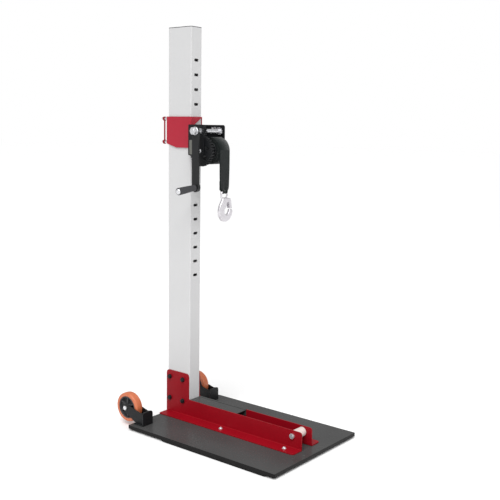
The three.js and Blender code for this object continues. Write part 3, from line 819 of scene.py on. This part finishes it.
# ---- base ----
@dataclass
class Base:
    """Base plate with its runners, the two side plates, the cover and their fasteners."""

    edge: float = 1.0 * MM
    corner: float = 2.5 * MM
    sheet: float = 3 * MM
    fold: float = 2.4 * MM
    head_across: float = 13 * MM
    head_height: float = 5.4 * MM
    washer: float = 8 * MM
    head_depth: float = 6.9 * MM
    lip_lap: float = 3 * MM
    lip_reach: float = 3.7 * MM
    lip_rise: float = 0.9 * MM

    def build(self) -> None:
        """Build every piece of the base."""
        make = Maker("base")
        self.plate(make)
        for side in Side:
            self.side_plate(make, side)
        make.softened("cover_plate", BASE_BLACK, 0.5 * MM)
        self.cover_lip(make)
        self.column_bolts(make)
        self.flange_screws(make)

    def plate(self, make: Maker) -> None:
        """Build the base plate and its two runners.

        Args:
            make: maker of the base body.
        """
        low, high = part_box("base_plate")
        outline = rounded([(x, y, self.corner) for x, y in ((low.x, low.y), (high.x, low.y), (high.x, high.y),
                                                            (low.x, high.y))])
        make.piece("base_plate_fine", ease(prism(outline, Axis.Z, low.z, high.z), self.edge, 3), BASE_BLACK,
                   ("base_plate",))
        for side in Side:
            make.softened(f"runner_{side.value}", BASE_BLACK, 0.8 * MM)

    def cover_lip(self, make: Maker) -> None:
        """Build the lip by which the cover laps the top of the right side plate.

        Args:
            make: maker of the base body.
        """
        low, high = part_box("cover_plate")
        start, end = high.x - self.lip_lap, high.x + self.lip_reach
        outline = [(start, low.y), (end, low.y), (end, high.y), (start, high.y)]
        lip = prism(outline, Axis.Z, high.z - 0.1 * MM, high.z + self.lip_rise)
        make.piece("cover_lip", ease(lip, 0.2 * MM, 1), BASE_BLACK)

    def side_plate(self, make: Maker, side: Side) -> None:
        """Build an angle plate with its bend and eased rims.

        Args:
            make: maker of the base body.
            side: which plate.
        """
        node = f"side_plate_{side.value}"
        low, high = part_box(node)
        inner = low.x if side is Side.RIGHT else high.x
        wall = inner + (self.sheet if side is Side.RIGHT else -self.sheet)
        bend = runs_along(Axis.Y, (inner, low.z), (wall, low.z + self.sheet))
        mesh = ease(copied(node), self.fold, 4, bend, worn=0.0)
        # The side plates take the darker copy of the red paint: painted shade.
        make.piece(f"{node}_fine", ease(mesh, 0.6 * MM, 2), SHADED_RED, (node,))

    def column_bolts(self, make: Maker) -> None:
        """Build the four through bolts and their nuts.

        Args:
            make: maker of the base body.
        """
        for word, side in (("bolt", -1), ("nut", 1)):
            nodes = [f"column_{word}_{i}" for i in range(1, 5)]
            boxes = [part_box(n) for n in nodes]
            face = boxes[0][0].x + (self.head_depth if side < 0 else 0.0)
            places = [Vector((face, (a.y + b.y) / 2, (a.z + b.z) / 2)) for a, b in boxes]
            parts = [
                turned([(0, 0), (0, self.washer), (1.2 * MM, self.washer), (1.6 * MM, self.washer - 0.4 * MM),
                        (1.6 * MM, 0)], Axis.Z, (0, 0), 36),
                hexagon_head(self.head_across, self.head_height, 0.25 * MM, (0, 0, 1.5 * MM)),
            ]
            if side > 0:
                parts.append(ease(turned([(0, 0), (0, 4 * MM), (9.4 * MM, 4 * MM), (9.9 * MM, 3.4 * MM),
                                          (9.9 * MM, 0)], Axis.Z, (0, 0), 24), 0.1 * MM, 1))
            body = moved(merged(parts), Matrix.Rotation(math.radians(90 * side), 4, "Y"))
            data = Repeater(f"column_{word}s", spin=0.5, seed=4 + side).build(body, places, BLACK)
            make.adopt(f"column_{word}s_fine", data, BLACK, nodes)

    def flange_screws(self, make: Maker) -> None:
        """Build the four button-head screws, each with a washer and a round socket sunk in its head.

        Args:
            make: maker of the base body.
        """
        nodes = [f"flange_screw_{i}" for i in range(1, 5)]
        boxes = [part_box(n) for n in nodes]
        top = boxes[0][1].z
        places = [Vector(((a.x + b.x) / 2, (a.y + b.y) / 2, top)) for a, b in boxes]
        washer = turned([(-4.8 * MM, 0), (-4.8 * MM, 7 * MM), (-3.7 * MM, 7 * MM), (-3.4 * MM, 6.6 * MM),
                         (-3.4 * MM, 0)], Axis.Z, (0, 0), 36)
        dome = [(-3.5, 0), (-3.5, 5.6), (-2.6, 5.6), (-1.3, 5.1), (-0.4, 4.1), (0, 3.2), (0, 2.9), (-0.4, 2.6),
                (-2.4, 2.5), (-2.4, 0)]
        head = turned([(a * MM, r * MM) for a, r in dome], Axis.Z, (0, 0), 36)
        screws = Repeater("flange_screws", axis=(0.0, 0.0, 1.0), spin=0.8)
        data = screws.build(merged([washer, head]), places, ZINC)
        make.adopt("flange_screws_fine", data, ZINC, nodes)


# ---- column ----
@dataclass
class Column:
    """Slotted rectangular tube with its end cap."""

    rim: float = 0.45 * MM

    def build(self) -> None:
        """Build the tube and the cap."""
        make = Maker("base")
        make.softened("column", COLUMN_GREY, self.rim, 2)
        make.softened("column_cap", PLASTIC, 0.5 * MM, 2)


# ---- rollers and casters ----
@dataclass
class FrontRoller:
    """Nylon roller between the side plates, on its axle bolt."""

    across: float = 16 * MM
    bore: float = 0.0053
    ease_radius: float = 1.4 * MM

    def build(self) -> None:
        """Build the roller, its axle and the nut."""
        low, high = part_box("roller")
        centre, radius = round_box("roller")
        rising = [(low.x, self.bore), (low.x, radius - self.ease_radius)]
        rising += [(low.x + self.ease_radius * (1 - math.cos(t)), radius - self.ease_radius * (1 - math.sin(t)))
                   for t in (math.pi / 8, math.pi / 4, 3 * math.pi / 8, math.pi / 2)]
        falling = [(high.x + low.x - a, r) for a, r in reversed(rising)]
        Maker("front_roller").piece("roller_fine", turned(rising + falling, Axis.X, centre, 64), NYLON, ("roller",))
        make = Maker("base")
        a_low, a_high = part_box("roller_axle")
        n_low, n_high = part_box("roller_nut")
        head = hexagon_head(self.across, 6.3 * MM, 0.3 * MM, (a_low.x + 6.4 * MM, *centre), -90)
        shaft = ease(turned([(a_low.x + 6 * MM, 0), (a_low.x + 6 * MM, 5 * MM), (a_high.x, 5 * MM), (a_high.x, 0)],
                            Axis.X, centre, 32), 0.6 * MM, 2)
        make.piece("roller_axle_fine", merged([head, shaft]), ZINC, ("roller_axle",))
        nut = hexagon_head(self.across, n_high.x - n_low.x, 0.3 * MM, (n_low.x, *centre), 90)
        make.piece("roller_nut_fine", nut, ZINC, ("roller_nut",))


@dataclass
class Caster:
    """Rear caster: bracket and fork on the base, spoked core and tread that turn."""

    side: Side
    spokes: int = 6
    shoulder: float = 4.5 * MM
    crown: float = 0.7 * MM
    hub: float = 10.5 * MM
    bore: float = 4.2 * MM
    web: float = 2.2 * MM

    def build(self) -> None:
        """Build the fixed and the turning pieces."""
        name = self.side.value
        fixed = Maker("base")
        fixed.softened(f"caster_bracket_{name}", BLACK, 0.7 * MM)
        fixed.softened(f"caster_fork_{name}", BLACK, 0.5 * MM)
        fixed.softened(f"caster_axle_{name}", ZINC, 0.4 * MM)
        wheel = Maker(f"caster_wheel_{name}")
        self.tread(wheel)
        self.core(wheel)

    def tread(self, make: Maker) -> None:
        """Build the crowned polyurethane tread.

        Args:
            make: maker of the wheel body.
        """
        node = f"caster_tyre_{self.side.value}"
        low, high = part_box(node)
        centre, radius = round_box(node)
        middle = (low.x + high.x) / 2
        half = (high.x - low.x) / 2
        inner = round_box(f"caster_core_{self.side.value}")[1] + 0.2 * MM
        s = self.shoulder
        right = [(half - s * (1 - math.cos(t)), radius - self.crown - s * (1 - math.sin(t)))
                 for t in (0, math.pi / 8, math.pi / 4, 3 * math.pi / 8)]
        flat = [(half - s, radius - self.crown), (half * 0.3, radius - self.crown * 0.1)]
        groove = [(half, radius * 0.90), (half - 0.6 * MM, radius * 0.885), (half - 0.6 * MM, radius * 0.84),
                  (half, radius * 0.825)]
        outside = [(half - 0.8 * MM, inner), (half, inner + 0.8 * MM), *reversed(groove), *right, *flat]
        profile = [(middle + a, r) for a, r in outside] + [(middle - a, r) for a, r in reversed(outside)]
        make.piece(f"{node}_fine", turned(profile, Axis.X, centre, 96), TREAD, (node,), smooth=40)

    def core(self, make: Maker) -> None:
        """Build the moulded core: rim, web and hub, and the spokes on both faces.

        Args:
            make: maker of the wheel body.
        """
        node = f"caster_core_{self.side.value}"
        low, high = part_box(node)
        centre, rim = round_box(node)
        middle = (low.x + high.x) / 2
        half = (high.x - low.x) / 2
        width = half - 1.2 * MM
        face = [(half, self.bore), (half, self.hub - 1 * MM), (half - 1 * MM, self.hub), (3 * MM, self.hub + 1.5 * MM),
                (self.web, self.hub + 3 * MM), (self.web, rim - 6.5 * MM), (3.2 * MM, rim - 5 * MM),
                (width - 0.6 * MM, rim - 4 * MM), (width, rim - 3.4 * MM), (width, rim - 0.6 * MM),
                (width - 0.6 * MM, rim)]
        profile = [(middle + a, r) for a, r in face] + [(middle - a, r) for a, r in reversed(face)]
        make.piece(f"{node}_fine", turned(profile, Axis.X, centre, 72), PLASTIC, (node,), smooth=40)
        inner = self.hub - 1.5 * MM
        outer = rim - 3.6 * MM
        blade = [(-width + 1.2 * MM, inner), (width - 1.2 * MM, inner), (width - 3 * MM, outer),
                 (-width + 3 * MM, outer)]
        spoke = ease(prism(blade, Axis.Y, -2.4 * MM, 2.4 * MM), 0.9 * MM, 2)
        places = [Vector((middle, *centre))] * self.spokes
        data = Repeater(f"spokes_{self.side.value}", step=2 * math.pi / self.spokes).build(spoke, places, PLASTIC)
        make.adopt(f"caster_spokes_{self.side.value}", data, PLASTIC)


# ---- collar ----
@dataclass
class Collar:
    """Sliding collar with its keeper plate, handle bar and studs."""

    edge: float = 0.5 * MM
    keeper_edge: float = 0.6 * MM

    def build(self) -> None:
        """Build every piece that is fixed to the collar except the winch frame."""
        make = Maker("collar")
        make.softened("collar_body", COLLAR_RED, self.edge)
        make.softened("keeper_plate", COLLAR_RED, self.keeper_edge)
        # The handle bar takes the darker copy of the red paint: painted shade on the collar's own red.
        make.softened("handle_bar", SHADED_RED, self.edge)
        for place in ("low", "high"):
            make.softened(f"handle_stud_{place}", ZINC, self.edge)
            make.softened(f"handle_nut_{place}", ZINC, self.edge)


# ---- winch ----
@dataclass
class Winch:
    """Winch frame, drum, gears and ratchet, with a plain label on the frame."""

    sheet: float = 3 * MM
    fold: float = 4 * MM
    inner_fold: float = 1.2 * MM
    label: Pair = (18 * MM, 46 * MM)
    core: float = 16 * MM
    bore: float = 6.2 * MM

    def build(self) -> None:
        """Build the frame and what turns in it."""
        fixed = Maker("collar")
        self.frame(fixed)
        for place in ("low", "high"):
            fixed.softened(f"frame_bolt_{place}", ZINC, 0.4 * MM)
        self.drum(Maker("winch_drum"))
        crank = Maker("crank")
        crank.softened("pinion", BLACK, 0.3 * MM, 1)
        crank.softened("ratchet_sleeve", ZINC, 0.3 * MM, 2)
        Maker("ratchet_pawl").softened("pawl", ZINC, 0.4 * MM)

    def frame(self, make: Maker) -> None:
        """Build the bent frame and its label.

        Args:
            make: maker of the collar body.
        """
        low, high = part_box("winch_frame")
        inner = (low.x + self.sheet, high.x - self.sheet)
        outer = runs_along(Axis.Z, *((x, high.y) for x in (low.x, high.x)))
        hollow = runs_along(Axis.Z, *((x, high.y - self.sheet) for x in inner))
        mesh = ease(copied("winch_frame"), self.fold, 4, outer, worn=0.0)
        mesh = ease(mesh, self.inner_fold, 3, hollow, worn=0.0)
        make.piece("winch_frame_fine", ease(mesh, 0.5 * MM, 2), BLACK, ("winch_frame",))
        front, foot = high.y - 25 * MM, low.z + 8 * MM
        back, top = front + self.label[0], foot + self.label[1]
        patch = rounded([(y, z, 2 * MM) for y, z in ((front, foot), (back, foot), (back, top), (front, top))])
        label = prism(patch, Axis.X, low.x - 0.25 * MM, low.x - 0.02 * MM)
        make.piece("plain_label_patch", ease(label, 0.08 * MM, 1), LABEL)

    def drum(self, make: Maker) -> None:
        """Build the drum with its flanges and shaft, and the toothed gear.

        Args:
            make: maker of the drum body.
        """
        low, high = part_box("drum")
        centre, flange = round_box("drum")
        left, right = (v.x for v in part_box("strap_roll"))
        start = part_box("drum_gear")[1].x + 0.5 * MM
        wall = left - 2.9 * MM
        rim = flange - 0.6 * MM
        core = [(start, self.bore), (start, self.core), (wall, self.core), (wall, flange - 0.8 * MM),
                (left - 2.1 * MM, flange), (left - 1.1 * MM, flange), (left - 0.5 * MM, rim),
                (left - 0.5 * MM, self.core), (right + 0.5 * MM, self.core), (right + 0.5 * MM, rim),
                (right + 1.1 * MM, flange), (right + 2.2 * MM, flange), (right + 2.8 * MM, rim),
                (right + 2.8 * MM, 12 * MM), (right + 3.6 * MM, 11.6 * MM), (right + 3.6 * MM, self.bore)]
        make.piece("drum_fine", turned(core, Axis.X, centre, 64), BLACK, ("drum",))
        shaft = [(low.x, 0), (low.x, 5.2 * MM), (low.x + 0.8 * MM, 6 * MM), (high.x - 0.8 * MM, 6 * MM),
                 (high.x, 5.2 * MM), (high.x, 0)]
        make.piece("drum_shaft", turned(shaft, Axis.X, centre, 40), ZINC)
        make.softened("drum_gear", BLACK, 0.35 * MM, 2, smooth=24)


@dataclass
class Crank:
    """Crank arm with its nut, shaft, grip pin and turning grip."""

    nut_across: float = 22 * MM
    edge: float = 0.9 * MM
    droop: float = 6.5
    grip_radius: float = 11.8 * MM
    grip_length: float = 74.6 * MM
    grip_end: float = -79.5 * MM
    grip_bore: float = 5.3 * MM
    rings: tuple[int, ...] = (3, 5, 7)

    def build(self) -> None:
        """Build every piece of the crank."""
        make = Maker("crank")
        make.piece("crank_arm_fine", ease(copied("crank_arm"), self.edge, 3), ARM_BLACK, ("crank_arm",))
        make.softened("crank_shaft", ZINC, 0.4 * MM)
        low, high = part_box("crank_nut")
        centre, _ = round_box("crank_nut")
        nut = hexagon_head(self.nut_across, high.x - low.x - 1.5 * MM, 0.4 * MM, (high.x - 1.5 * MM, *centre), -90)
        seat = high.x - 1.6 * MM
        washer = turned([(seat, 0), (seat, 13 * MM), (high.x, 13 * MM), (high.x, 0)], Axis.X, centre, 40)
        ease(washer, 0.3 * MM, 2)
        make.piece("crank_nut_fine", merged([nut, washer]), ZINC, ("crank_nut",))
        make.softened("grip_pin", ZINC, 0.4 * MM)
        self.grip()

    def grip(self) -> None:
        """Build the moulded grip with finger rings near its end, drooping a little from the arm."""
        low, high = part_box("crank_arm")
        foot = Vector((low.x + 2.5 * MM, (low.y + high.y) / 2, low.z + 13.9 * MM))
        end, length, radius = self.grip_end, self.grip_length, self.grip_radius
        profile: list[Pair] = [(end, self.grip_bore), (end, radius - 1.6 * MM),
                               (end + 0.5 * MM, radius - 0.7 * MM), (end + 1.6 * MM, radius)]
        steps = 24
        for k in range(1, steps):
            part = k / steps
            swell = radius * (1 - 0.20 * part) + 0.35 * MM * math.sin(part * math.pi)
            ring = 0.5 * MM if k in self.rings else 0.0
            profile.append((end + 1.6 * MM + part * (length - 5 * MM), swell - ring))
        last = end + length
        profile += [(last - 3 * MM, 10.2 * MM), (last - 0.8 * MM, 10.2 * MM), (last, 9.4 * MM),
                    (last, self.grip_bore)]
        lean = Matrix.Translation(foot) @ Matrix.Rotation(-math.radians(self.droop), 4, "Y")
        Maker("grip").piece("crank_grip_fine", moved(turned(profile, Axis.X, (0, 0), 56), lean), PLASTIC,
                            ("crank_grip",), smooth=45)


# ---- strap ----
@dataclass
class Strap:
    """Webbing wound on the drum and its hanging end, sewn round the hook's eye."""

    thick: float = 2.4 * MM
    layers: int = 11
    steps: int = 96
    across: int = 24
    core: float = 16.3 * MM
    front: float = 61 * MM
    neck: float = 0.787
    neck_run: float = 0.03
    back_run: float = 0.012
    loop: float = 5.9 * MM
    narrow: float = 0.40
    bend_y: float = 0.0622
    bend_end: float = 0.842

    def build(self) -> None:
        """Build the wound roll, the hanging end and its seams."""
        self.roll()
        self.tail()
        self.seams()

    def roll(self) -> None:
        """Build the wound strap as a spiral whose layers show on both end faces."""
        low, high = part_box("strap_roll")
        spot, outer = round_box("strap_roll")
        centre, inner = Vector((0, *spot)), self.core
        pitch = (outer - inner) / (self.layers + 1)
        mesh = new_bmesh()
        uv = mesh.loops.layers.uv.new("strap")
        rows: list[list[bmesh.types.BMVert]] = []
        flats: list[list[Pair]] = []
        for s in range(self.steps):
            part = s / (self.steps - 1)
            angle = math.pi + 2 * math.pi * part * 0.9995
            way = Vector((0, math.cos(angle), -math.sin(angle)))
            reach = outer - pitch * part
            ring: list[Pair] = [(low.x, inner)]
            for k in range(self.layers, -1, -1):
                top = reach - pitch * k
                wander = 0.5 * MM * math.sin(k * 2.7 + angle * 2) + 0.4 * MM * math.sin(k * 1.3 + angle)
                sunk = 0.7 * MM + wander * 0.5 if k else 0.25 * MM
                ring += [(low.x + sunk + 0.7 * MM, top - pitch * 0.96), (low.x + sunk, top - pitch * 0.7),
                         (low.x + sunk, top - pitch * 0.3)]
            left = ring[:1] + [(max(low.x, a), max(inner + 1e-5 * i, r)) for i, (a, r) in enumerate(ring[1:])]
            left.append((low.x + 1.0 * MM, reach))
            section = left + [(low.x + high.x - a, r) for a, r in reversed(left)]
            rows.append([mesh.verts.new(centre + Vector((a, 0, 0)) + way * r) for a, r in section])
            length = 2 * math.pi * outer * part
            flats.append([(a - low.x + r, length) for a, r in section])
        for s in range(self.steps):
            nxt = (s + 1) % self.steps
            for i in range(len(rows[0])):
                j = (i + 1) % len(rows[0])
                face = mesh.faces.new((rows[s][i], rows[s][j], rows[nxt][j], rows[nxt][i]))
                spots = (flats[s][i], flats[s][j], flats[nxt][j], flats[nxt][i])
                for loop, spot in zip(face.loops, spots):
                    loop[uv].uv = spot
        bmesh.ops.recalc_face_normals(mesh, faces=mesh.faces)
        Maker("winch_drum").piece("strap_roll_fine", mesh, STRAP_WEB, ("strap_roll",), smooth=60, weighted=False)

    def path(self) -> list[tuple[Vector, float, float]]:
        """Return the strap end's middle line: place, width and how far its edges curl.

        Returns:
            Stations from the roll down round the eye and up the back.
        """
        low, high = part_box("strap_tail")
        hook_low, hook_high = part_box("hook")
        full = high.x - low.x
        middle = (low.x + high.x) / 2
        eye = middle + 0.8 * MM
        bar = Vector((eye, (hook_low.y + hook_high.y) / 2, hook_high.z - 3.5 * MM))
        front = self.front + self.thick / 2
        (axle, hub), _ = round_box("strap_roll")
        stations: list[tuple[Vector, float, float]] = []
        for rise, sunk in ((16, 1.5), (11, 0.8), (7, 0.4), (3.5, 0.15)):
            reach = axle - front - sunk * MM
            stations.append((Vector((middle, axle - reach * math.cos(math.radians(rise)),
                                     hub + reach * math.sin(math.radians(rise)))), full * 0.985, 0.0))
        for z, width, curl in ((high.z, 1, 0), (0.895, 1, 0.02), (0.87, 0.995, 0.03), (0.85, 0.985, 0.06),
                               (0.835, 0.97, 0.10), (0.822, 0.95, 0.14), (0.812, 0.925, 0.2), (0.803, 0.90, 0.3),
                               (0.797, 0.87, 0.42), (0.792, 0.82, 0.6), (0.788, 0.70, 0.9)):
            shift = (middle - eye) * max(0.0, min(1.0, (z - self.neck) / self.neck_run))
            stations.append((Vector((eye + shift, front, z)), full * width, curl))
        for k in range(0, 11):
            angle = math.radians(160) + math.radians(220) * k / 10
            stations.append((bar + Vector((0, self.loop * math.cos(angle), self.loop * math.sin(angle))),
                             full * (self.narrow if 0 < k < 10 else 0.46), 1.0))
        back = bar.y + self.loop
        for z, width, curl in ((0.788, 0.66, 0.8), (0.793, 0.78, 0.5), (0.80, 0.85, 0.3), (0.812, 0.88, 0.12),
                               (0.824, 0.90, 0.05)):
            shift = (middle - eye) * max(0.0, min(1.0, (z - self.neck) / self.neck_run))
            drift = max(0.0, min(1.0, (z - self.neck) / self.back_run))
            y = back * (1 - drift) + (front + self.thick + 0.1 * MM) * drift
            stations.append((Vector((eye + shift, y, z)), full * width, curl))
        return stations

    def band(self, stations: Sequence[tuple[Vector, float, float]]) -> bmesh.types.BMesh:
        """Loft a band of even thickness along its stations, with its UV map in metres.

        Args:
            stations: place, width and curl of each section.

        Returns:
            The band, closed at both ends.
        """
        mesh = new_bmesh()
        uv = mesh.loops.layers.uv.new("strap")
        across = self.across
        rows: list[list[bmesh.types.BMVert]] = []
        runs: list[float] = [0.0]
        for (a, _, _), (b, _, _) in zip(stations, stations[1:]):
            runs.append(runs[-1] + (b - a).length)
        for i, (spot, width, curl) in enumerate(stations):
            ahead = stations[min(i + 1, len(stations) - 1)][0] - stations[max(i - 1, 0)][0]
            along = Vector((0, ahead.y, ahead.z)).normalized()
            normal = Vector((0, along.z, -along.y))
            loop: list[bmesh.types.BMVert] = []
            for face, order in ((1, range(across + 1)), (-1, range(across, -1, -1))):
                for k in order:
                    u = -1 + 2 * k / across
                    pinch = min(1.0, (1 - abs(u)) * 8 + 0.35)
                    wave = curl * (1.5 * MM * math.cos(u * math.pi * 1.5) - 0.6 * MM)
                    offset = face * self.thick / 2 * pinch - wave * 0.6
                    loop.append(mesh.verts.new(spot + Vector((u * width / 2, 0, 0)) + normal * offset))
            rows.append(loop)
        count = len(rows[0])
        half = count // 2
        for r, (first, second) in enumerate(zip(rows, rows[1:])):
            for k in range(count):
                j = (k + 1) % count
                face = mesh.faces.new((first[k], first[j], second[j], second[k]))
                for corner in face.loops:
                    step = k if corner.vert in (first[k], second[k]) else k + 1
                    place = min(step, across) if step <= across else max(0, 2 * across + 1 - step)
                    run = runs[r] if corner.vert in (first[k], first[j]) else runs[r + 1]
                    corner[uv].uv = (place / across * 0.05 + (0.0 if step < half else 0.0003), run)
        mesh.faces.new(rows[0])
        mesh.faces.new(rows[-1])
        bmesh.ops.recalc_face_normals(mesh, faces=mesh.faces)
        return mesh

    def tail(self) -> None:
        """Build the hanging end as a folded band, which bends between collar and strap end."""
        mesh = self.band(self.path())
        shaded(mesh, 60)
        tail = linked("strap_tail_fine", plain("strap_tail_fine", mesh))
        tail.data.materials.append(STRAP_WEB.material())
        smooth = tail.modifiers.new("smooth", "SUBSURF")
        smooth.levels = smooth.render_levels = 1
        tail.data = evaluated(tail)
        tail.modifiers.clear()
        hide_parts("strap_tail")
        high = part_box("strap_tail")[1]
        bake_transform(tail, "collar", "strap_end", start=(0, self.bend_y, high.z - 2 * MM),
                 end=(0, self.bend_y, self.bend_end))
        LOG.info("strap_tail_fine blends collar to strap_end, %d faces", len(tail.data.polygons))

    def seams(self) -> None:
        """Build the four rows of short stitches that close the loop."""
        low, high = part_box("strap_tail")
        middle = (low.x + high.x) / 2
        places: list[Vector] = []
        front = self.front - 0.05 * MM
        for x in (-17, -9, 9, 17):
            places += [Vector((middle + x * MM, front, z * MM)) for z in range(803, 823, 3)]
        stitch = turned([(-1.2 * MM, 0), (-1.0 * MM, 0.25 * MM), (0, 0.4 * MM), (1.0 * MM, 0.25 * MM),
                         (1.2 * MM, 0)], Axis.Z, (0, 0), 8)
        data = Repeater("seam", axis=(0.0, 1.0, 0.0), spin=0.12).build(stitch, places, THREAD, smooth=80)
        Maker("strap_end").adopt("strap_seam", data, THREAD)


# ---- hook ----
@dataclass
class SnapHook:
    """Forged hook with its eye, and the spring latch."""

    voxel: float = 0.7 * MM
    passes: int = 6

    def build(self) -> None:
        """Build the hook as one forging with soft rims, and the latch."""
        thing = linked("hook_blank", plain("hook_blank", copied("hook")))
        remesh = thing.modifiers.new("forge", "REMESH")
        remesh.mode = "VOXEL"
        remesh.voxel_size = self.voxel
        remesh.use_smooth_shade = True
        polish = thing.modifiers.new("polish", "SMOOTH")
        polish.factor = 0.5
        polish.iterations = self.passes
        forged = evaluated(thing)
        bpy.data.objects.remove(thing)
        Maker("snap_hook").adopt("hook_fine", forged, HOOK_ZINC, ("hook",))
        Maker("latch").softened("hook_latch", HOOK_ZINC, 0.3 * MM, 1)


# ---- studio ----
@dataclass
class Studio:
    """Pale floor, soft lights and the camera."""

    position: Triple = (-1.9988, -1.6644, 0.9852)
    yaw: float = -0.897045
    pitch: float = 0.145791
    roll: float = 0.0155646
    lens: float = 59.345
    ambient: float = 0.42
    floor_half: float = 40.0
    floor_white: float = 0.93

    def camera(self) -> None:
        """Place the camera."""
        data = bpy.data.cameras.new("camera")
        data.lens = self.lens
        data.sensor_width = 36.0
        data.clip_end = 200.0
        eye = linked("camera", data)
        way = Vector((-math.sin(self.yaw) * math.cos(self.pitch), math.cos(self.yaw) * math.cos(self.pitch),
                      -math.sin(self.pitch)))
        level = Vector((math.cos(self.yaw), math.sin(self.yaw), 0))
        upright = level.cross(way)
        right = level * math.cos(self.roll) + upright * math.sin(self.roll)
        up = upright * math.cos(self.roll) - level * math.sin(self.roll)
        turn = Matrix((right, up, -way)).transposed().to_4x4()
        eye.matrix_world = Matrix.Translation(self.position) @ turn
        bpy.context.scene.camera = eye

    def light(self, name: str, spot: Triple, aim: Triple, size: float, power: float) -> None:
        """Add a square soft light.

        Args:
            name: name of the light.
            spot: where it stands.
            aim: what it points at.
            size: side of the square.
            power: power in watts.
        """
        data = bpy.data.lights.new(name, "AREA")
        data.shape = "SQUARE"
        data.size = size
        data.energy = power
        lamp = linked(name, data)
        way = Vector(aim) - Vector(spot)
        lamp.matrix_world = Matrix.Translation(spot) @ way.to_track_quat("-Z", "Y").to_matrix().to_4x4()

    def sun(self, way: Triple, strength: float, spread: float) -> None:
        """Add a wide soft sun, so that the floor is lit evenly as far as it goes.

        Args:
            way: direction towards the sun.
            strength: strength of the light.
            spread: how wide it looks, in degrees.
        """
        data = bpy.data.lights.new("key", "SUN")
        data.energy = strength
        data.angle = math.radians(spread)
        lamp = linked("key", data)
        lamp.matrix_world = Vector(way).to_track_quat("Z", "Y").to_matrix().to_4x4()

    def build(self) -> None:
        """Set up the camera, floor, surroundings and lights."""
        self.camera()
        mesh = bmesh.new()
        bmesh.ops.create_grid(mesh, x_segments=1, y_segments=1, size=self.floor_half)
        floor = linked("floor", plain("floor", mesh))
        paper = bpy.data.materials.new("floor_paper")
        paper.use_nodes = True
        shader = paper.node_tree.nodes["Principled BSDF"]
        shader.inputs["Base Color"].default_value = (self.floor_white, self.floor_white, self.floor_white, 1)
        shader.inputs["Roughness"].default_value = 0.9
        shader.inputs["Specular IOR Level"].default_value = 0.1
        floor.data.materials.append(paper)
        world = bpy.data.worlds.new("surroundings")
        bpy.context.scene.world = world
        world.use_nodes = True
        nodes = Nodes(world.node_tree)
        world.node_tree.nodes.clear()
        path = nodes.add("ShaderNodeLightPath")
        dim, bright = (nodes.add("ShaderNodeBackground", in_Strength=strength, in_Color=(1, 1, 1, 1))
                       for strength in (self.ambient, 1.0))
        mix = nodes.add("ShaderNodeMixShader")
        nodes.link(path.outputs["Is Camera Ray"], mix.inputs[0])
        nodes.link(dim.outputs[0], mix.inputs[1])
        nodes.link(bright.outputs[0], mix.inputs[2])
        nodes.link(mix.outputs[0], nodes.add("ShaderNodeOutputWorld").inputs[0])
        self.sun(way=(-0.583, -0.272, 0.766), strength=2.8, spread=45)
        self.light("front", spot=(0.6, -4.2, 2.4), aim=(0, 0, 0.6), size=2.4, power=40)
        self.light("top", spot=(0.3, 0.4, 4.4), aim=(0, 0, 0), size=3.0, power=25)
        bpy.context.scene.view_settings.view_transform = "Standard"


def main() -> None:
    """Load the frame, build the scene and report each piece."""
    logging.basicConfig(level=logging.INFO, format="%(name)s: %(message)s")
    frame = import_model()
    Studio().build()
    for part in (Base(), Column(), FrontRoller(), Caster(Side.LEFT), Caster(Side.RIGHT), Collar(), Winch(), Crank(),
                 Strap(), SnapHook()):
        part.build()
        LOG.info("%s done", type(part).__name__)
    missing = [n for n, thing in frame["nodes"].items() if not thing.hide_render]
    LOG.info("frame nodes still shown: %s", missing)


if __name__ == "__main__":
    main()
